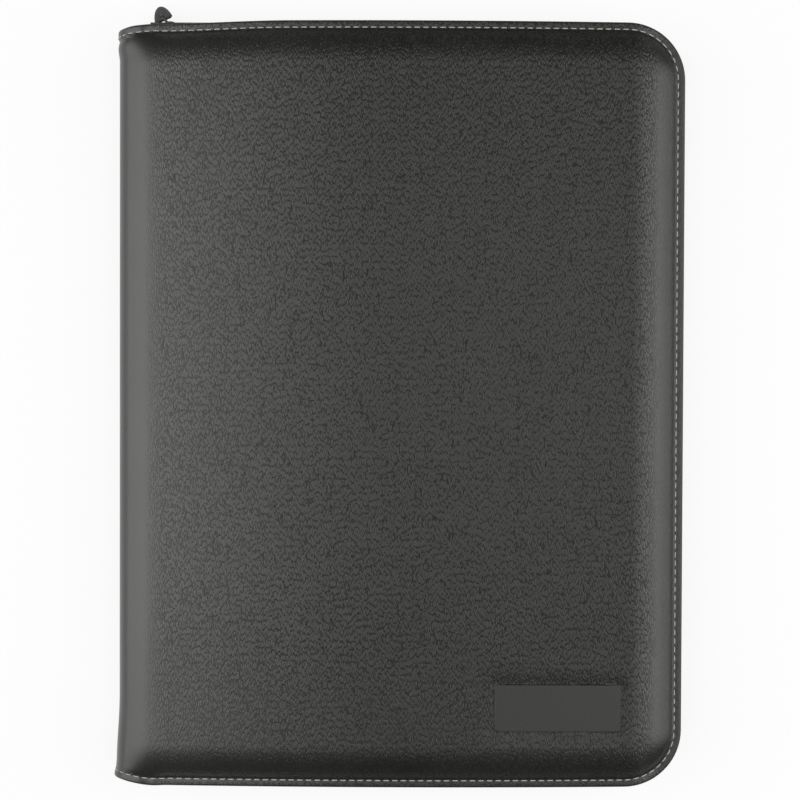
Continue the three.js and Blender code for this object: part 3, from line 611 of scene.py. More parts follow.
def hem_stitches(under=False):
    """The stitches of a hem: the upper row on the skin, or the row on the underside, which lies on
    the zipper tape."""
    s, y = round_path(STITCH_INSET)
    if under:
        tape_here = np.where(s > TAPE_END, TAPE_THICKNESS, 0)
        depth = loft(s) + HEM_THICKNESS + tape_here + UNDER_ROW_RAISED
    else:
        depth = loft(s) + hem_relief(STITCH_INSET) - UPPER_ROW_SUNK
    line = wrap(s, y, depth)
    outwards = wrap(s, y, depth + (MM if under else -MM)) - line
    return stitches_along(line, outwards, STITCH_PITCH, HEM_THREAD)


def panel_stitches(path, level, facing):
    """Stitches on a level panel along a path of x and y, with points every millimetre; facing is 1
    upwards and -1 downwards."""
    run = run_along(path)
    path = at_run(path, run, np.linspace(0, run[-1], max(2, round(run[-1] / MM))))
    line = together(*path.T, level)
    outwards = np.broadcast_to([0.0, 0.0, facing], line.shape)
    return stitches_along(line, outwards, SEAM_PITCH, SEAM_THREAD)


# Zipper wall between the hems
WALL_INSET = 5 * MM
WALL_RADIUS = CORNER_RADIUS - WALL_INSET
WALL_Y = HALF_HEIGHT - WALL_INSET
TAPE_THICKNESS = 0.6 * MM
TAPE_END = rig.box("front_zipper_tape")[0].x
TAPE_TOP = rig.box("front_zipper_tape")[1].z
TAPE_REACH = 3.7 * MM
TAPE_CORD = 0.75 * MM
BEAD_LOW = 15 * MM
TOOTH_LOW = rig.box("front_teeth_side")[0].z
TOOTH_PITCH = 3.6 * MM
TEETH_START = -104.7 * MM
STRAIGHT = CORNER_X - TAPE_END
BEND = WALL_RADIUS * math.pi / 2
SIDE = 2 * CORNER_Y
STRETCHES = np.cumsum([0, STRAIGHT, BEND, SIDE, BEND, STRAIGHT])


def wall(run, offset, height):
    """A point of the zipper wall: run along its middle line from the spine end of the top, offset
    outwards and a height. The line is straight, turns with the corners' radius, and is straight."""
    first = np.clip((run - STRETCHES[1]) / BEND, 0, 1)
    second = np.clip((run - STRETCHES[3]) / BEND, 0, 1)
    angle = math.pi / 2 * (1 - first - second)
    top = np.clip(run, 0, STRAIGHT)
    bottom = np.clip(run - STRETCHES[4], 0, STRAIGHT)
    side = np.clip(run - STRETCHES[2], 0, SIDE)
    radius = WALL_RADIUS + offset
    x = TAPE_END + top - bottom + radius * np.cos(angle)
    y = CORNER_Y - side + radius * np.sin(angle)
    return together(x, y, height)


def tape():
    """The tape with its corded edge: a closed profile of offsets and heights carried along the wall,
    and a UV map in millimetres along the run and across the profile."""
    half, low_side, soft = TAPE_THICKNESS / 2, TAPE_TOP - TAPE_THICKNESS, 0.3 * MM
    centre = BEAD_LOW + TAPE_CORD
    turn = np.linspace(math.radians(60), math.radians(-240), 11)
    profile = [
        (half, low_side - 0.4 * MM),
        (half, centre + 1.3 * MM),
        *[(TAPE_CORD * math.cos(a), centre + TAPE_CORD * math.sin(a)) for a in turn],
        (-half, centre + 1.3 * MM),
        (-half, TAPE_TOP - 0.2 * MM),
        (-half + soft, TAPE_TOP),
        (half + TAPE_REACH - soft, TAPE_TOP),
        (half + TAPE_REACH, TAPE_TOP - half),
        (half + TAPE_REACH - soft, low_side),
        (half + 0.4 * MM, low_side),
    ]
    offset, height = np.array(profile).T
    run = np.unique(np.concatenate([
        np.linspace(STRETCHES[0], STRETCHES[-1], 240),
        np.linspace(STRETCHES[1], STRETCHES[2], 17),
        np.linspace(STRETCHES[3], STRETCHES[4], 17),
    ]))
    uv = together(run[:, None] / MM, run_along(np.array(profile)) / MM)
    return *tube(wall(run[:, None], offset, height)), uv


def tooth_runs(share, top_row):
    """Middles of the teeth along the wall. Cells fill each stretch evenly; the front cover's teeth
    stand in their first halves (share 0) and the back cover's in their second (share 0.5)."""
    middles = []
    for stretch, (start, end) in enumerate(zip(STRETCHES[:-1], STRETCHES[1:])):
        count = round((end - start) / TOOTH_PITCH)
        cells = np.linspace(start, end, count, endpoint=False)
        pitch = (end - start) / count
        kept = (cells >= TEETH_START - TAPE_END) & (cells + pitch <= STRETCHES[-1] - 2 * MM)
        if (stretch == 0) == top_row:
            middles.append(cells[kept] + (share + 0.25) * pitch)
    return np.concatenate(middles)


def teeth(share, top_row):
    """Moulded teeth: superellipses stacked from the root that clamps the cord, over a narrow neck, to
    the rounded head. Six sections of eight corners each."""
    middles = tooth_runs(share, top_row)
    root = BEAD_LOW + 1.5 * MM
    height = root + (TOOTH_LOW - root) * np.array([0, 0.25, 0.42, 0.62, 0.86, 1])
    width = MM * np.array([0.62, 0.74, 0.62, 0.5, 0.72, 0.42])
    thick = MM * np.array([0.85, 1.1, 0.95, 0.78, 0.95, 0.6])
    across, along = superellipse(full_turn(8) + math.pi / 8, 0.6)
    run = middles[:, None, None] + width[:, None] * along
    points = wall(run, thick[:, None] * across, height[:, None])
    return points.reshape(-1, 3), body_faces(6, 8, len(middles))


def rounded_block(low, high, roundness):
    """A block with soft edges between two corners: a superellipsoid, whose sines and cosines are
    raised to a small power."""
    low, high = np.asarray(low), np.asarray(high)
    level, rise = superellipse(np.linspace(-math.pi / 2, math.pi / 2, 13)[1:-1, None], roundness)
    x, y = superellipse(full_turn(24), roundness)
    shape = together(level * x, level * y, rise)
    return tube((low + high) / 2 + shape * (high - low) / 2)


def joined(*bodies):
    """Several bodies as one set of points and faces."""
    points, faces, first = [], [], 0
    for body_points, body in bodies:
        points.append(body_points)
        faces += [[corner + first for corner in face] for face in body]
        first += len(body_points)
    return np.concatenate(points), faces


def rounded_outline(low, high, radius, steps=6):
    """A rectangle with round corners as a closed loop of x and y."""
    low, high = np.asarray(low, float) + radius, np.asarray(high, float) - radius
    turn = np.linspace(0, math.pi / 2, steps + 1)
    arc = radius * together(np.cos(turn), np.sin(turn))
    loop = []
    for corner in ((high[0], high[1]), (low[0], high[1]), (low[0], low[1]), (high[0], low[1])):
        loop.append(arc + corner)
        arc = arc[:, ::-1] * (-1, 1)
    return np.concatenate(loop)


def rounded_plate(outline, rim, low, high):
    """A plate between two levels, whose outline depends on an inset, with the edges of both faces
    rounded over by a rim of insets and rises."""
    rounds = [(inset, low + rise) for inset, rise in rim]
    rounds += [(inset, high - rise) for inset, rise in rim[::-1]]
    return tube(np.stack([together(*outline(inset).T, level) for inset, level in rounds]))


def soft_plate(low, high, corner, edge):
    """A flat plate between two corners in space with its edges rounded over by edge."""
    def outline(inset):
        return rounded_outline(np.array(low[:2]) + inset, np.array(high[:2]) - inset, corner - inset)

    rim = [(2 * edge, 0), (edge, 0), (0.3 * edge, 0.3 * edge), (0, edge)]
    return rounded_plate(outline, rim, low[2], high[2])


# Slider, link and pull tab
SLIDER_LOW, SLIDER_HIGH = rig.box("slider_body")
SLIDER_X = (SLIDER_LOW.x + SLIDER_HIGH.x) / 2
SLIDER_HALF = 2.6 * MM
SLIDER_PLATE = 1.2 * MM
SLIDER_EDGE = 0.35 * MM
SLIDER_FRONT_WIDTH = 10.4 * MM
SLIDER_REAR_WIDTH = 9.4 * MM
LIP_GAP = 0.7 * MM
CHANNEL = 3.3 * MM
CROWN_WIDTH = 2.6 * MM
CROWN_BAR = 1.1 * MM
CROWN_REACH = 3.05 * MM
LINK_ANGLE = math.radians(38)
LINK_REACH = 3.8 * MM
LINK_WINDOW = 1.7 * MM
LINK_BAR = 1.4 * MM
LINK_THICKNESS = 1.2 * MM
LINK_CORNER = 0.7 * MM
LINK_PIVOT = np.array([SLIDER_X, WALL_Y + SLIDER_HALF + 1.15 * MM, SPINE_RADIUS])
TAB_LENGTH = 12.2 * MM
TAB_WIDTH = 9 * MM
TAB_THICKNESS = 1.2 * MM
TAB_TAPER = 16.2 * MM
TAB_HEEL = 0.2 * MM
HEEL_CORNER = 1.4 * MM
TAB_DROOP = math.radians(43)
TAB_YAW = math.radians(14)
EYE_LOW, EYE_HIGH = 1.5 * MM, LINK_WINDOW + LINK_BAR + 0.2 * MM
EYE_HALF_WIDTH = 0.85 * MM


def slider_outline(inset):
    """Outline of a slider plate as x and height: four quarter superellipses, wider at the front,
    where the rows of teeth part."""
    turn = full_turn(48)
    half = np.where(np.cos(turn) < 0, SLIDER_FRONT_WIDTH, SLIDER_REAR_WIDTH) / 2 - inset
    reach = (SLIDER_HIGH.x - SLIDER_LOW.x) / 2 - inset
    across, up = superellipse(turn, 0.55)
    return together(SLIDER_X + reach * across, SPINE_RADIUS + half * up)


def slider_plate(near, far):
    """One plate of the slider between two depths along Y, with rounded edges."""
    rim = [(SLIDER_EDGE, 0), (0.1 * MM, 0.12 * MM), (0, SLIDER_EDGE)]
    points, faces = rounded_plate(slider_outline, rim, near, far)
    return points[:, [0, 2, 1]], faces


def swept(line, first_axis, profile, closed):
    """A closed profile of two coordinates carried along a line in space: the first coordinate points
    along the given axis, the second at right angles to it and the line."""
    forward = np.gradient(line, axis=0)
    if closed:
        forward = np.roll(line, -1, axis=0) - np.roll(line, 1, axis=0)
    first = np.broadcast_to(np.asarray(first_axis, float), line.shape)
    second = np.cross(unit(forward), first)
    points = line[:, None] + first[:, None] * profile[:, :1] + second[:, None] * profile[:, 1:]
    return tube(points, closed)


def bar_profile(width, height):
    """Rounded section of a bar, as a loop of two coordinates."""
    across, up = superellipse(full_turn(16), 0.5)
    return together(width / 2 * across, height / 2 * up)


def slider():
    """The slider: two plates with lips over the chain, the wedge that parts the rows, and an arched
    crown for the link."""
    outer = WALL_Y + SLIDER_HALF
    plates = [slider_plate(outer - SLIDER_PLATE, outer),
              slider_plate(2 * WALL_Y - outer, 2 * WALL_Y - outer + SLIDER_PLATE)]
    lips = []
    for side in (-1, 1):
        for plate in (-1, 1):
            low_z, high_z = sorted((CHANNEL * side, (SLIDER_REAR_WIDTH / 2 - 0.1 * MM) * side))
            near, far = sorted((LIP_GAP * plate, (SLIDER_HALF - 0.3 * MM) * plate))
            lips.append(rounded_block(
                (SLIDER_LOW.x + 1 * MM, WALL_Y + near, SPINE_RADIUS + low_z),
                (SLIDER_HIGH.x - 1 * MM, WALL_Y + far, SPINE_RADIUS + high_z),
                0.22,
            ))
    wedge = rounded_block(
        (SLIDER_LOW.x + 1.2 * MM, WALL_Y - 1.7 * MM, SPINE_RADIUS - 1.2 * MM),
        (SLIDER_LOW.x + 5.2 * MM, WALL_Y + 1.7 * MM, SPINE_RADIUS + 1.2 * MM),
        0.5,
    )
    turn = np.linspace(-0.12 * math.pi, 1.12 * math.pi, 25)
    root = 0.3 * MM
    rise = SLIDER_HIGH.y - outer - CROWN_BAR / 2 + root
    line = together(
        SLIDER_X + CROWN_REACH * signed_power(np.cos(turn), 0.7),
        outer - root + rise * np.maximum(np.sin(turn), -0.3),
        SPINE_RADIUS,
    )
    crown = swept(line, (0, 0, 1), bar_profile(CROWN_WIDTH, CROWN_BAR), closed=False)
    return joined(*plates, *lips, wedge, crown)


def turned(points, angle, first, second):
    """Points turned by an angle from one axis towards another."""
    points = np.array(points, float)
    cos, sin = math.cos(angle), math.sin(angle)
    points[:, [first, second]] = points[:, [first, second]] @ [[cos, sin], [-sin, cos]]
    return points


def in_link(points):
    """From the link's own drawing, with y away from the crown, to its place on the slider."""
    return turned(points, LINK_ANGLE, 0, 1) + LINK_PIVOT


def in_tab(points):
    """From the tab's own drawing, with y towards its tip, to the link's round end, where it droops,
    turned back a little and with its eye to one side."""
    eye_shift = (LINK_WINDOW + LINK_BAR / 2) * math.sin(TAB_YAW) * math.cos(TAB_DROOP / 2)
    drooped = turned(points - (eye_shift, 0, 0), -TAB_DROOP, 1, 2)
    return in_link(turned(drooped, -TAB_YAW, 0, 1) + (0, LINK_REACH, 0))


def link():
    """The link: a rounded bar bent to a loop with a straight end under the crown and a round end."""
    radius = LINK_WINDOW + LINK_BAR / 2
    arc = np.linspace(0, math.pi, 17)
    corner = np.linspace(math.pi, 1.5 * math.pi, 6)
    round_end = together(radius * np.cos(arc), LINK_REACH + radius * np.sin(arc))
    left = LINK_CORNER * together(1 + np.cos(corner), 1 + np.sin(corner)) - (radius, 0)
    flat = np.concatenate([round_end, left, left[::-1] * (-1, 1)])
    line = together(0.0, flat[:, 1], flat[:, 0])
    points, faces = swept(line, (1, 0, 0), bar_profile(LINK_THICKNESS, LINK_BAR), closed=True)
    return in_link(points), faces


def tab_outline(turn):
    """Outline of the tab, by its angle round a point beside the eye: an ellipse towards the tip, cut
    off at the heel with round corners."""
    centre = TAB_LENGTH - TAB_TAPER
    share = np.maximum(np.sin(turn), 0)
    start = np.arcsin((TAB_HEEL + HEEL_CORNER - centre) / TAB_TAPER)
    rise = start + (math.pi / 2 - start) * share**0.9
    upper = together(
        np.sign(np.cos(turn)) * TAB_WIDTH / 2 * np.cos(rise), centre + TAB_TAPER * np.sin(rise)
    )
    lower = together(
        TAB_WIDTH / 2 * np.cos(start) * signed_power(np.cos(turn), 0.35),
        TAB_HEEL + HEEL_CORNER * (1 - np.abs(np.sin(turn)) ** 0.6),
    )
    return np.where(np.sin(turn)[:, None] > 0, upper, lower)


def pull_tab():
    """The pull tab: rings from the rim of its eye over the crowned face, round the edge and back."""
    turn = full_turn(72)
    middle, half = (EYE_LOW + EYE_HIGH) / 2, (EYE_HIGH - EYE_LOW) / 2
    eye = together(EYE_HALF_WIDTH * np.cos(turn), middle + half * np.sin(turn))
    share = np.concatenate([[0, 0.06, 0.14], np.linspace(0.3, 0.8, 4), [0.9, 0.96, 0.99, 1]])
    round_edge = np.sqrt(np.clip(1 - ((share - 0.8) / 0.2).clip(0, 1) ** 2, 0, 1))
    round_eye = np.sqrt(np.clip(1 - (1 - share / 0.14).clip(0, 1) ** 2, 0, 1))
    height = TAB_THICKNESS / 2 * np.minimum(round_edge, 0.25 + 0.75 * round_eye)
    flat = eye[None] + (tab_outline(turn) - eye)[None] * share[:, None, None]
    upper = together(flat[..., 0], flat[..., 1], height[:, None])
    points, faces = tube(np.concatenate([upper, upper[-2::-1] * (1, 1, -1)]), closed=True)
    return in_tab(points), faces


# Soft layers inside the covers
FOAM_INSET = 12 * MM
FOAM_GAP, FOAM_THICKNESS, SPINE_FOAM_DEPTH = 0.3 * MM, 0.6 * MM, 3.9 * MM
LINING_RADIUS = 8.517 * MM
LINING_CORNER = 19.9 * MM
PANEL_THICKNESS = 0.55 * MM


def slab(upper, lower):
    """A closed body between two equal grids of points."""
    rows, columns = upper.shape[:2]
    size = rows * columns
    index = np.arange(size).reshape(rows, columns)
    border = np.concatenate([index[0], index[1:, -1], index[-1, -2::-1], index[-2:0:-1, 0]])
    following = np.roll(border, -1)
    rim = together(border, following, following + size, border + size)
    quads = grid_quads(rows, columns)
    faces = np.concatenate([quads, quads[:, ::-1] + size, rim]).tolist()
    return np.concatenate([upper.reshape(-1, 3), lower.reshape(-1, 3)]), faces


def cover_inset(s, y):
    """Distance inwards from the cover's edge, on which the spine side has none."""
    return -rounded_distance(s - CORNER_X, np.abs(y) + bow(s) - CORNER_Y, CORNER_RADIUS)


def round_ended_grid(columns, half_height, radius, right, rows):
    """A grid of s and y whose columns end on a straight line, or on a quarter circle beside the
    right end."""
    into_corner = np.maximum(columns - (right - radius), 0)
    top = half_height - radius + np.sqrt(np.maximum(radius**2 - into_corner**2, 0))
    share = np.sin(np.linspace(-math.pi / 2, math.pi / 2, rows))[:, None]
    return np.broadcast_to(columns, (rows, len(columns))), share * top


def padding():
    """The foam of one cover and half the spine: its face follows the skin, and its underside is level
    on the board and round in the spine."""
    right = HALF_WIDTH - FOAM_INSET
    columns = np.concatenate([
        np.linspace(SPINE_MIDDLE, -95 * MM, 30),
        np.linspace(-90 * MM, right - 14 * MM, 24),
        right - 12 * MM * (1 - np.sin(np.linspace(0, math.pi / 2, 9))),
    ])
    s, y = round_ended_grid(columns, HALF_HEIGHT - FOAM_INSET, CORNER_RADIUS - FOAM_INSET, right, 60)
    upper = loft(s) * fall(cover_inset(s, y)) + SKIN_THICKNESS + FOAM_GAP
    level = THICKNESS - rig.box("front_board")[1].z
    into_spine = smooth((SPINE_X - s) / (6 * MM))
    lower = level * (1 - into_spine) + SPINE_FOAM_DEPTH * into_spine
    return slab(wrap(s, y, upper), wrap(s, y, np.maximum(lower, upper + FOAM_THICKNESS)))


def lining():
    """The cloth lining of one cover and half the spine. Its inner face runs over a quarter of a circle
    in the spine and a fillet, and level under the cover."""
    low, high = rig.box("front_lining")
    turn = np.linspace(math.pi / 2, math.radians(52), 12)
    across = (LINING_RADIUS + SPINE_SWELL) * np.sin(turn)
    arc = together(SPINE_X - across, SPINE_RADIUS + LINING_RADIUS * np.cos(turn))
    level = np.concatenate([
        np.linspace(-116.8 * MM, 95 * MM, 40),
        high.x - LINING_CORNER * (1 - np.sin(np.linspace(0.1, math.pi / 2, 12))),
    ])
    flat = together(level, low.z)
    share = np.linspace(0, 1, 8)[1:-1, None]
    knee = np.array([[SPINE_X - 6.6 * MM, low.z]])
    fillet = (1 - share) ** 2 * arc[-1] + 2 * share * (1 - share) * knee + share**2 * flat[0]
    path = np.concatenate([arc, fillet, flat])
    forward = unit(np.gradient(path, axis=0))
    up = together(-forward[:, 1], 0.0, forward[:, 0])
    x, y = round_ended_grid(path[:, 0], high.y, LINING_CORNER, high.x, 40)
    inner = together(x, y, path[:, 1])
    return slab(inner + (high.z - low.z) * up, inner)


# Pockets and pen loop. A pocket has its body, the way it faces (1 up, -1 down), the width over which
# its seam rises, its corner radius and how far it bulges.
POCKETS = {
    "document_pocket": ("front_cover", -1, 4 * MM, 8 * MM, 0.2 * MM),
    "card_pocket_1": ("front_cover", -1, 2.5 * MM, 4 * MM, 0.05 * MM),
    "card_pocket_2": ("front_cover", -1, 2.5 * MM, 4 * MM, 0.05 * MM),
    "card_pocket_3": ("front_cover", -1, 2.5 * MM, 4 * MM, 0.05 * MM),
    "pad_pocket": ("back_cover", 1, 4 * MM, 8 * MM, 0.0),
}
SEAM_INSET = 1.3 * MM
SEAM_END = 1.5 * MM


def panel_height(node, to_edge):
    """Height of a pocket panel's surface over the lining: thin at its seam, and risen by a smoothstep
    of the distance to its sewn edges."""
    low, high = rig.box(node)
    rise = smooth(to_edge / POCKETS[node][2] - 0.1)
    return rise, PANEL_THICKNESS + (high.z - low.z - PANEL_THICKNESS) * rise - 0.1 * MM


def pocket_panel(node):
    """A pocket panel, which bulges a little, with its open top edge folded over and a little
    thicker."""
    _, facing, _, corner, bulge = POCKETS[node]
    low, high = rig.box(node)
    wide, tall = high.x - low.x, high.y - low.y
    edge = MM * np.array([0, 0.25, 0.8, 1.6, 2.4, 3.2, 4, 5])
    inner = np.linspace(low.x + 7 * MM, high.x - 7 * MM, 24)
    x = np.concatenate([low.x + edge, inner, high.x - edge[::-1]])
    fold = tall - MM * np.array([8, 7.4, 6.8, 3, 0.5, 0.15, 0])
    height = np.concatenate([edge, np.linspace(7 * MM, tall - 10 * MM, 24), fold])[:, None]
    side = np.minimum(x - low.x, high.x - x)
    dent = corner - np.sqrt(np.maximum(corner**2 - np.maximum(corner - side, 0) ** 2, 0))
    base = low.y + dent + height * (tall - dent) / tall
    to_edge = np.minimum(side, base - low.y - dent)
    rise, top = panel_height(node, to_edge)
    span = (x - low.x) * (high.x - x) / (wide / 2) ** 2
    folded = 0.12 * MM * smooth((base - high.y + 8 * MM) / (0.6 * MM))
    rounding = 0.12 * MM * (1 - smooth(to_edge / (0.3 * MM)))
    top = np.minimum(top + folded + bulge * span * rise, high.z - low.z + bulge) - rounding
    ground = low.z if facing > 0 else high.z
    levels = [ground + facing * top, ground + facing * np.maximum(top - PANEL_THICKNESS, 0)]
    return slab(*[together(x, base, level) for level in levels])


def pocket_seam(node):
    """The stitch line of a pocket as x and y: down one side, along the bottom and up the other."""
    low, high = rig.box(node)
    left, right, top = low.x + SEAM_INSET, high.x - SEAM_INSET, high.y - SEAM_END
    steps = 8
    outline = rounded_outline(
        (left, low.y + SEAM_INSET), (right, high.y + 20 * MM), POCKETS[node][3] - SEAM_INSET, steps
    )
    lower_corners = outline[2 * (steps + 1):]
    return np.concatenate([[[left, top]], lower_corners, [[right, top]]])


def side_seams(node, bottom):
    """The stitch lines down both sides of a pocket to a height, where the next pocket covers it."""
    low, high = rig.box(node)
    sides = (low.x + SEAM_INSET, high.x - SEAM_INSET)
    return [np.array([[x, high.y - SEAM_END], [x, bottom]]) for x in sides]


def pen_loop():
    """The elastic loop: a thin band with rounded edges bent to a ring round Y, flattened a little
    where it is sewn to the spine's lining."""
    low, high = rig.box("pen_loop")
    radius = (high.x - low.x) / 2 - 0.4 * MM
    turn = full_turn(56)
    flat = 1 - 0.05 * bump_curve(turn, math.pi, 0.6)
    centre = (low.x + high.x) / 2
    line = together(
        centre + radius * np.cos(turn) * flat, 0.0, SPINE_RADIUS + radius * np.sin(turn)
    )
    across = np.linspace(-1, 1, 12)
    half = together(high.y * across, 0.36 * MM * (1 - across**12 * 0.6))
    return swept(line, (0, 1, 0), np.concatenate([half, half[::-1] * (1, -1)]), closed=True)


# Node trees

class Value:
    """A node's output. Arithmetic with plain numbers and other outputs adds Math nodes."""

    def __init__(self, tree, socket):
        self.tree, self.socket = tree, socket

    def math(self, operation, *others):
        return self.tree.node("Math", (self, *others), operation=operation)

    def __rsub__(self, other):
        return self.tree.node("Math", (other, self), operation="SUBTRACT")

    __add__ = partialmethod(math, "ADD")
    __sub__ = partialmethod(math, "SUBTRACT")
    __mul__ = partialmethod(math, "MULTIPLY")
    __truediv__ = partialmethod(math, "DIVIDE")
    __pow__ = partialmethod(math, "POWER")
    __abs__ = partialmethod(math, "ABSOLUTE")

    def wave(self, rate):
        """The sine of the value times a rate."""
        return (self * rate).math("SINE")

    def remap(self, low, high, to_low=0.0, to_high=1.0):
        """A smoothstep from to_low at low to to_high at high."""
        inputs = self, low, high, to_low, to_high
        return self.tree.node("MapRange", inputs, interpolation_type="SMOOTHSTEP")


class Tree:
    """Adds nodes to a node tree. An input is a plain value or another node's output."""

    def __init__(self, tree):
        self.nodes, self.links = tree.nodes, tree.links

    def put(self, socket, value):
        if isinstance(value, Value):
            self.links.new(value.socket, socket)
        else:
            socket.default_value = value

    def node(self, kind, inputs=(), output=0, **settings):
        """A new node with its settings and its inputs in order or by name, as the value of one of its
        outputs, or of all of them when output is None."""
        made = self.nodes.new("ShaderNode" + kind)
        for key, value in settings.items():
            setattr(made, key, value)
        for key, value in inputs.items() if isinstance(inputs, dict) else enumerate(inputs):
            self.put(made.inputs[key], value)
        if output is None:
            return [Value(self, socket) for socket in made.outputs]
        return Value(self, made.outputs[output])

    def vector(self, operation, *values):
        return self.node("VectorMath", values, operation=operation)

    def parts(self, vector, kind="SeparateXYZ"):
        """The three parts of a vector or colour."""
        return self.node(kind, [vector], None)

    def group(self, group, *values):
        """The outputs of a group that is given values for its inputs."""
        return self.node("Group", values, None, node_tree=group)

    def mix(self, share, first, second):
        return self.node("Mix", {0: share, 6: first, 7: second}, 2, data_type="RGBA")

    def noise(self, place, scale, detail=2.0, roughness=0.5):
        inputs = {"Vector": place, "Scale": scale, "Detail": detail, "Roughness": roughness}
        return self.node("TexNoise", inputs, "Fac")

    def place(self):
        return self.node("TexCoord", output="Object")

    def run_map(self):
        return self.node("UVMap", uv_map="Run")

    def attribute(self, name):
        return self.node("Attribute", output="Fac", attribute_name=name)


def new_group(name, inputs, outputs, build):
    """A node group with named inputs of a kind and named outputs, which build makes from them."""
    group = bpy.data.node_groups.new(name, "ShaderNodeTree")
    for socket, kind in inputs.items():
        group.interface.new_socket(socket, in_out="INPUT", socket_type="NodeSocket" + kind)
    for socket in outputs:
        group.interface.new_socket(socket, in_out="OUTPUT", socket_type="NodeSocketFloat")
    tree = Tree(group)
    given, result = group.nodes.new("NodeGroupInput"), group.nodes.new("NodeGroupOutput")
    made = build(tree, *[Value(tree, given.outputs[socket]) for socket in inputs])
    for socket, value in zip(outputs, made):
        tree.put(result.inputs[socket], value)
    return group


def build_grain(tree, place, width, length):
    """Pebbled leather grain: cells of a given width and length whose borders are valleys, each cell a
    little higher or lower, under fine wrinkles."""
    place = tree.vector("DIVIDE", place, tree.node("CombineXYZ", (width, length, width)))
    warp = tree.node("TexNoise", {"Vector": place, "Scale": 0.7, "Detail": 2.0}, "Color")
    warp = tree.vector("MULTIPLY", tree.vector("SUBTRACT", warp, (0.5, 0.5, 0.5)), (0.6, 0.3, 0.6))
    bent = {"Vector": tree.vector("ADD", place, warp), "Scale": 1.0}
    border = tree.node("TexVoronoi", bent, "Distance", feature="DISTANCE_TO_EDGE")
    cell = tree.parts(tree.node("TexVoronoi", bent, "Color", feature="F1"), "SeparateColor")[0]
    fine = tree.noise(place, 2.6, 3.0, 0.6)
    height = border.remap(0.0, 0.3) * (cell * 0.6 + 0.6) + fine * 0.45
    # The second value masks the valleys, in which the leather paints shade.
    return height, border.remap(0.0, 0.16, 1.0, 0.0)


def build_weave(tree, across, along, pitch, twill):
    """Woven cloth: threads along both directions of a plane, each as high as the rounded sine of its
    own direction, and over or under by a twill or plain order."""
    across, along = across / pitch, along / pitch
    over = (along * twill + across).wave(2 * math.pi).remap(-0.4, 0.4)
    warp = abs(across.wave(math.pi)) ** 0.5 * over
    weft = abs(along.wave(math.pi)) ** 0.5 * (1.0 - over)
    height = warp + weft
    # The second value masks the gaps between the threads, in which the cloth paints shade.
    return height, height.remap(0.2, 0.7, 1.0, 0.0)


def build_variation(tree, place, size):
    """Slow uneven colour, as of handling and dust: noise of a given size as a mask round 0.5."""
    place = tree.vector("DIVIDE", place, tree.node("CombineXYZ", (size, size, size)))
    return [tree.noise(place, 1.0, 4.0, 0.6).remap(0.25, 0.75)]


GRAIN = new_group("Leather grain", {"Place": "Vector", "Width": "Float", "Length": "Float"},
                  ["Height", "Valley"], build_grain)
WEAVE = new_group("Weave", {"Across": "Float", "Along": "Float", "Pitch": "Float", "Twill": "Float"},
                  ["Height", "Gap"], build_weave)
VARIATION = new_group("Variation", {"Place": "Vector", "Size": "Float"}, ["Mask"], build_variation)


def material(name, recipe, *values):
    """A material by a recipe, which is given the tree and the values and returns a height in metres
    for the bump, the base colour and other sockets of the Principled BSDF."""
    finish = bpy.data.materials.new(name)
    finish.use_nodes = True
    tree, shader = Tree(finish.node_tree), finish.node_tree.nodes["Principled BSDF"]
    height, colour, sockets = recipe(tree, *values)
    normal = tree.node("Bump", {"Height": height, "Distance": 1.0, "Strength": 1.0})
    for key, value in {"Base Color": colour, "Normal": normal, **sockets}.items():
        tree.put(shader.inputs[key], value)
    return finish


def shade(colour, factor):
    """A colour made darker or lighter."""
    return tuple(channel * factor for channel in colour[:3]) + (1.0,)


def uneven_colour(tree, size, colour, darker, lighter):
    """A mask of slow variation, and a colour that follows it."""
    mask = tree.group(VARIATION, tree.place(), size)[0]
    return mask, tree.mix(mask, shade(colour, darker), shade(colour, lighter))


def leather(tree, colour, roughness, width, length, height, stitched):
    """Pebbled leatherette: painted shade in the valleys of its grain, a little uneven colour and roughness.
    Where it is stitched, its grain and polish attributes say how deep the grain and its painted shade
    are and how strong the gloss is, and the stitches of a hem pull dents into it."""
    relief, valley = tree.group(GRAIN, tree.place(), width, length)
    mask, base = uneven_colour(tree, 0.03, colour, 0.93, 1.07)
    strength = tree.attribute("grain") if stitched else 1.0
    valley, relief = valley * strength, relief * strength * height
    more = {"Roughness": mask * 0.06 + (valley * 0.2 + roughness)}
    if stitched:
        more["Specular IOR Level"] = tree.attribute("polish") * valley.remap(0.0, 1.0, 1.0, 0.5)
        relief = relief + stitch_dents(tree)
    # Painted shade: the grain's valleys are mixed towards a darker copy of the colour.
    return relief, tree.mix(valley, base, shade(colour, 0.6)), more


def stitch_dents(tree):
    """Height of a stitched hem in metres: a hole at both ends of each stitch, from a UV map of
    stitches run and millimetres of inset."""
    run, inset, _ = tree.parts(tree.run_map())
    gap = (run * (2 * math.pi)).math("COSINE") * 0.5 + 0.5
    near = abs(inset - STITCH_INSET / MM).remap(0.0, 1.1, 1.0, 0.0)
    return gap**0.8 * near * (0.16 * MM)


def thread(tree, colour):
    """Twisted thread: a fine diagonal ply over the stitch's own UV map, with painted shade in the grooves
    between its plies and at its ends, where the stitch dives into the leather.
    """
    along, around, _ = tree.parts(tree.run_map())
    ply = abs((along * 3.0 + around).wave(1.5 * math.pi))
    # Painted shade in the grooves between the plies.
    base = tree.mix(ply, shade(colour, 0.72), shade(colour, 1.0))
    # Painted shade at the stitch's ends, where it dives into the leather.
    base = tree.mix(abs(along).remap(0.6, 1.0), base, shade(colour, 0.35))
    return ply * (0.05 * MM), base, {"Roughness": 0.65, "Sheen Weight": 0.2}


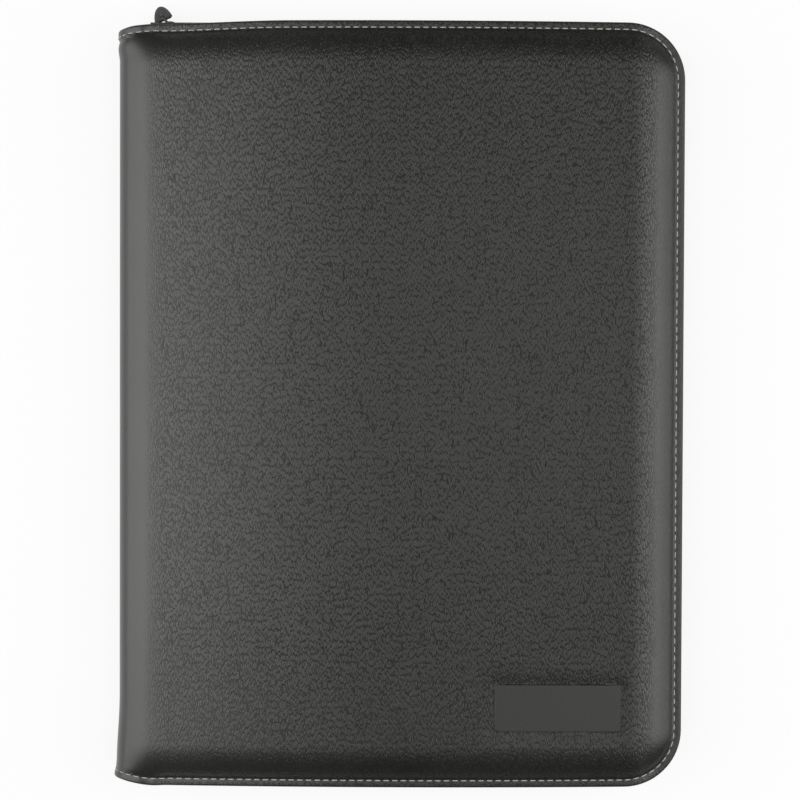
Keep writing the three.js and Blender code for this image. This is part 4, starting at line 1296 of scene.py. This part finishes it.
def cloth(tree, colour, pitch, twill, depth, use_uv=False):
    """Woven cloth in the plane of X and Y, or of the piece's UV map in millimetres, with painted shade in
    the gaps between its threads.
    """
    place = tree.place()
    if use_uv:
        place = tree.node("VectorMath", {0: tree.run_map(), "Scale": MM}, operation="SCALE")
    across, along, _ = tree.parts(place)
    height, gap = tree.group(WEAVE, across, along, pitch, twill)
    # Painted shade in the gaps between the threads.
    base = tree.mix(gap, uneven_colour(tree, 0.02, colour, 0.85, 1.15)[1], shade(colour, 0.4))
    return height * depth, base, {"Roughness": 0.85, "Sheen Weight": 0.25}


def plastic(tree, colour, roughness):
    """Moulded plastic: even, with a faint orange peel and slightly uneven gloss."""
    mask, base = uneven_colour(tree, 0.004, colour, 0.9, 1.1)
    peel = tree.noise(tree.place(), 1800.0)
    return peel * (0.01 * MM), base, {"Roughness": mask * 0.12 + (roughness - 0.06)}


def metal(tree, colour, roughness):
    """Plated metal: satin, with fine rubbing marks and darker tarnish in patches."""
    base = uneven_colour(tree, 0.003, colour, 0.85, 1.1)[1]
    streaks = tree.noise(tree.vector("MULTIPLY", tree.place(), (1.0, 6.0, 1.0)), 900.0, 3.0)
    rough = streaks * 0.25 + (roughness - 0.12)
    return streaks * (0.006 * MM), base, {"Roughness": rough, "Metallic": 0.9}


def card(tree, colour, fibre):
    """Board or card: long pale and dark fibres in a dull pulp, and thin plies on its edges."""
    place = tree.place()
    fibres = tree.noise(tree.vector("MULTIPLY", place, (1.0, 5.0, 5.0)), 500.0, 4.0, 0.7)
    pulp = tree.mix(fibres.remap(0.3, 0.7), shade(colour, 1 - fibre), shade(colour, 1 + fibre))
    plies = tree.parts(place)[2].wave(26000.0).remap(0.2, 0.9)
    edge = 1.0 - abs(tree.parts(tree.node("NewGeometry", output="Normal"))[2])
    base = tree.mix(edge * plies, pulp, shade(colour, 0.6))
    return fibres * (0.03 * MM), base, {"Roughness": 0.9}


def paper(tree):
    """The pad's paper: faint grey-blue rules every 8 mm on the top sheet, and on its edges the grooves
    between the sheets, darkened as painted shade."""
    place = tree.place()
    _, along, up = tree.parts(place)
    flat = tree.parts(tree.node("NewGeometry", output="Normal"))[2].remap(0.7, 0.95)
    rule = abs((along / (8 * MM)).math("FRACT") - 0.5).remap(0.02, 0.04, 1.0, 0.0)
    rule = rule * along.math("LESS_THAN", 125 * MM) * flat
    layers = up.wave(2 * math.pi / (0.22 * MM)).remap(0.2, 1.0) * (1.0 - flat)
    fibres = tree.noise(place, 700.0, 4.0, 0.6)
    base = tree.mix(fibres, (0.68, 0.675, 0.645, 1), (0.76, 0.755, 0.725, 1))
    base = tree.mix(rule, base, (0.25, 0.33, 0.44, 1))
    # Painted shade in the grooves between the sheets on the pad's edges.
    base = tree.mix(layers, base, (0.5, 0.49, 0.46, 1))
    return fibres * (0.01 * MM) + layers * (-0.03 * MM), base, {"Roughness": 0.85}


def foam(tree, colour):
    """Open foam: small cells, darker as painted shade where the surface sinks away from their middles."""
    cells = tree.node("TexVoronoi", {"Vector": tree.place(), "Scale": 1100.0}, "Distance")
    # Painted shade: deeper parts of the cells are mixed towards a darker copy of the colour.
    base = tree.mix(cells, shade(colour, 1.2), shade(colour, 0.5))
    return cells * (-0.3 * MM), base, {"Roughness": 0.95}


LEATHER = material("Pebbled leatherette", leather, (0.0105, 0.0107, 0.0089), 0.27,
                   0.78 * MM, 3.0 * MM, 0.125 * MM, True)
PLATE_LEATHER = material("Smooth leatherette", leather, (0.022, 0.0222, 0.0195), 0.38,
                         0.5 * MM, 0.7 * MM, 0.004 * MM, False)
POCKET_LEATHER = material("Fine leatherette", leather, (0.04, 0.04, 0.036), 0.5,
                          0.7 * MM, 0.9 * MM, 0.03 * MM, False)
PALE_THREAD = material("Pale thread", thread, (0.43, 0.43, 0.4))
DARK_THREAD = material("Dark thread", thread, (0.06, 0.06, 0.06))
TWILL = material("Lining twill", cloth, (0.03, 0.03, 0.033), 0.55 * MM, 1.0, 0.08 * MM)
TAPE_CLOTH = material("Tape weave", cloth, (0.02, 0.02, 0.021), 0.5 * MM, 2.0, 0.1 * MM, True)
ELASTIC = material("Elastic weave", cloth, (0.02, 0.02, 0.021), 0.9 * MM, 0.0, 0.15 * MM)
BINDING = material("Binding cloth", cloth, (0.035, 0.036, 0.045), 0.4 * MM, 0.0, 0.05 * MM)
TOOTH_PLASTIC = material("Tooth plastic", plastic, (0.03, 0.03, 0.031), 0.35)
GUNMETAL = material("Gunmetal", metal, (0.075, 0.073, 0.07), 0.48)
GREY_BOARD = material("Grey board", card, (0.3, 0.27, 0.22), 0.25)
BACKING_CARD = material("Backing card", card, (0.36, 0.27, 0.17), 0.15)
PAPER = material("Ruled paper", paper)
FOAM = material("Foam", foam, (0.05, 0.05, 0.055))


# Pieces
SIDES = (("front", np.asarray), ("back", to_back))


def both_covers(name, shape, finish, slot, nodes, bent=True, **details):
    """A piece for the front cover and its mirror image for the back cover, which replace nodes."""
    points, faces = shape
    for side, place in SIDES:
        piece = add_piece(f"{side}_{name}", place(points), faces, finish, **details)
        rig.slot(piece, slot)
        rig.replaces(piece, *[node.format(side=side) for node in nodes])
        if bent:
            bend(piece, side)
        else:
            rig.ride(piece, f"{side}_cover")
        yield side, piece


def declare_sheet(piece, width, rests_on):
    """Declares a piece as a sheet of a cut width, whose length follows from half of its surface."""
    areas = np.empty(len(piece.data.polygons))
    piece.data.polygons.foreach_get("area", areas)
    length = float(areas.sum() / 2 / width)
    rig.sheet(piece, flat=(width, length), held="stretched", rests_on=[rests_on])


def make_skins():
    """The leatherette of both covers and the spine, in two halves that meet along the spine."""
    replaced = {"front": ["front_cover_skin", "spine_skin"], "back": ["back_cover_skin"]}
    for (side, place), face in zip(SIDES, (front_face, plain_face)):
        points, faces, uv, values = skin(face)
        half = add_piece(f"{side}_leather", place(points), faces, LEATHER, uv, values)
        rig.replaces(half, *replaced[side])
        declare_sheet(half, 2 * HALF_HEIGHT, f"{side}_foam")
        bend(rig.slot(half, "leatherette"), side)


def make_stitches():
    """The visible rows of stitches on both covers, and the rows under the hems."""
    for row, under in (("stitches", False), ("under_stitches", True)):
        points, faces, uv = hem_stitches(under)
        for side, place in SIDES:
            bend(add_piece(f"{side}_{row}", place(points), faces, PALE_THREAD, uv), side)


def make_plate():
    """The blank plate, a smooth piece of leatherette in its recess."""
    shape = soft_plate(PLATE_LOW, PLATE_HIGH, PLATE_CORNER, PLATE_EDGE)
    plate = add_piece("blank_plate", *shape, PLATE_LEATHER)
    carry(plate, "plate_leatherette", "name_plate", "front_cover")


def make_layers():
    """Foam and lining inside both covers and the spine."""
    nodes = ["{side}_padding", "spine_padding"]
    for _, piece in both_covers("foam", padding(), FOAM, "foam", nodes):
        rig.padded(piece, fill=0.8)
    nodes = ["{side}_lining", "spine_lining"]
    for side, piece in both_covers("cloth_lining", lining(), TWILL, "lining_cloth", nodes):
        declare_sheet(piece, 2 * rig.box("front_lining")[1].y, f"{side}_board")


def make_zipper():
    """Tapes, teeth and stops of both covers, and the slider with its link and tab."""
    points, faces, uv = tape()
    width = TAPE_REACH + TAPE_TOP - BEAD_LOW + math.pi * TAPE_CORD
    for side, piece in both_covers(
        "tape", (points, faces), TAPE_CLOTH, "tape_cloth", ["{side}_zipper_tape"], False, uv=uv
    ):
        declare_sheet(piece, width, f"{side}_leather")
    for (side, place), share in zip(SIDES, (0, 0.5)):
        for row, top_row in (("top", True), ("side", False)):
            points, faces = teeth(share, top_row)
            piece = add_piece(f"{side}_teeth_{row}_row", place(points), faces, TOOTH_PLASTIC)
            carry(piece, "tooth_plastic", f"{side}_teeth_{row}", f"{side}_cover")
    for node, side in (("front_top_stop", "front"), ("back_top_stop", "back"), ("bottom_stop", "back")):
        stop = add_piece(f"{node}_crimp", *rounded_block(*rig.box(node), 0.3), GUNMETAL)
        carry(stop, "gunmetal", node, f"{side}_cover")
    for name, shape, node, body in (
        ("slider", slider(), "slider_body", "slider"),
        ("link", link(), "pull_link", "link"),
        ("tab", pull_tab(), "pull_tab", "pull"),
    ):
        carry(add_piece(f"zip_{name}", *shape, GUNMETAL), "gunmetal", node, body)


def make_pockets():
    """The panels of the pockets on both covers, and the pen loop."""
    for node, (body, *_) in POCKETS.items():
        panel = add_piece(f"{node}_panel", *pocket_panel(node), POCKET_LEATHER)
        low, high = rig.box(node)
        declare_sheet(panel, high.x - low.x, f"{body.split('_')[0]}_cloth_lining")
        carry(panel, "pocket_leatherette", node, body)
    loop = add_piece("elastic_pen_loop", *pen_loop(), ELASTIC)
    low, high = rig.box("pen_loop")
    declare_sheet(loop, high.y - low.y, "front_cloth_lining")
    carry(loop, "elastic", "pen_loop", "spine")


def make_seams():
    """Rows of stitches that hold the pockets on their covers. A card pocket behind another shows its
    seam only above the next one's top edge."""
    for name, nodes in (
        ("document_pocket", ["document_pocket"]),
        ("card_pockets", ["card_pocket_1", "card_pocket_2", "card_pocket_3"]),
        ("pad_pocket", ["pad_pocket"]),
    ):
        rows = []
        for node, following in zip(nodes, [*nodes[1:], None]):
            paths = [pocket_seam(node)]
            if following:
                paths = side_seams(node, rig.box(following)[1].y + 1 * MM)
            body, facing = POCKETS[node][:2]
            low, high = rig.box(node)
            level = panel_height(node, SEAM_INSET)[1]
            level = low.z + level if facing > 0 else high.z - level
            rows += [panel_stitches(path, level, facing) for path in paths]
        points, faces = joined(*[row[:2] for row in rows])
        uv = np.concatenate([row[2].reshape(-1, 2) for row in rows])
        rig.ride(add_piece(f"{name}_stitches", points, faces, DARK_THREAD, uv), body)


def finish_nodes():
    """Materials of the CAD nodes that stay."""
    for node, finish in (
        ("front_board", GREY_BOARD), ("back_board", GREY_BOARD), ("pad_backing_card", BACKING_CARD),
        ("pad_sheets", PAPER), ("pad_binding", BINDING),
    ):
        mesh = frame["nodes"][node].data
        mesh.materials.clear()
        mesh.materials.append(finish)


make_skins()
make_stitches()
make_plate()
make_layers()
make_zipper()
make_pockets()
make_seams()
finish_nodes()


# Stage, light and camera
FLOOR_HALF = 6.0
FLOOR_GLOW = 0.85
ROOM_LIGHT = 0.12
LENS = 62.4
CAMERA_DISTANCE = 0.6412
CAMERA_AIM = (-0.0006, 0.0021)
CAMERA_TILT, CAMERA_ROLL = math.radians(0.9), math.radians(0.2)


def make_stage():
    """A white floor that keeps the portfolio's soft shadow."""
    floor = bpy.data.materials.new("Floor")
    floor.use_nodes = True
    tree, shader = Tree(floor.node_tree), floor.node_tree.nodes["Principled BSDF"]
    shader.inputs["Roughness"].default_value = 0.9
    shader.inputs["Base Color"].default_value = (0.85, 0.85, 0.85, 1)
    seen, glossy, through = [
        tree.node("LightPath", output=f"Is {kind} Ray") for kind in ("Camera", "Glossy", "Transmission")
    ]
    seen = seen.math("MAXIMUM", glossy).math("MAXIMUM", through) * FLOOR_GLOW
    layers = seen, Value(tree, shader.outputs[0]), tree.node("Emission")
    tree.put(floor.node_tree.nodes["Material Output"].inputs["Surface"], tree.node("MixShader", layers))
    mesh = bpy.data.meshes.new("floor")
    corners = [(x * FLOOR_HALF, y * FLOOR_HALF, 0) for x, y in ((-1, -1), (1, -1), (1, 1), (-1, 1))]
    mesh.from_pydata(corners, [], [(0, 1, 2, 3)])
    mesh.materials.append(floor)
    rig.stage(add_object("floor", mesh))


def add_softbox(name, place, size, power):
    """A rectangular area lamp aimed at the middle of the portfolio."""
    lamp = bpy.data.lights.new(name, "AREA")
    lamp.shape = "RECTANGLE"
    lamp.size, lamp.size_y = size
    lamp.energy = power
    piece = add_object(name, lamp)
    piece.location = place
    piece.rotation_euler = (-piece.location).to_track_quat("-Z", "Y").to_euler()


def make_lights():
    """Tall softboxes on the left and right in a dark room, which the camera sees as white."""
    add_softbox("left_softbox", (-0.73, 0, 0.75), (1.12, 1.9), 13.9)
    add_softbox("right_softbox", (0.74, 0, 0.72), (1.1, 1.3), 9.6)
    world = bpy.data.worlds.new("Room")
    bpy.context.scene.world = world
    world.use_nodes = True
    background = world.node_tree.nodes["Background"]
    background.inputs["Color"].default_value = (1, 1, 1, 1)
    tree = Tree(world.node_tree)
    seen = tree.node("LightPath", output="Is Camera Ray")
    tree.put(background.inputs["Strength"], seen * (1 - ROOM_LIGHT) + ROOM_LIGHT)


def make_camera():
    """The camera looks almost straight down, tipped and rolled by less than a degree."""
    lens = bpy.data.cameras.new("camera")
    lens.sensor_width = 36
    lens.lens = LENS
    camera = add_object("camera", lens)
    x, y = CAMERA_AIM
    y += CAMERA_DISTANCE * math.sin(CAMERA_TILT)
    camera.location = (x, y, CAMERA_DISTANCE * math.cos(CAMERA_TILT))
    camera.rotation_euler = (-CAMERA_TILT, 0, CAMERA_ROLL)
    bpy.context.scene.camera = camera


make_stage()
make_lights()
make_camera()
bpy.context.scene.view_settings.view_transform = "Standard"

with open("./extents.json", "w") as sizes:
    boxes = {"cad": cad_bounds, "visual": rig.bounds()}
    json.dump({key: [list(corner) for corner in box] for key, box in boxes.items()}, sizes)
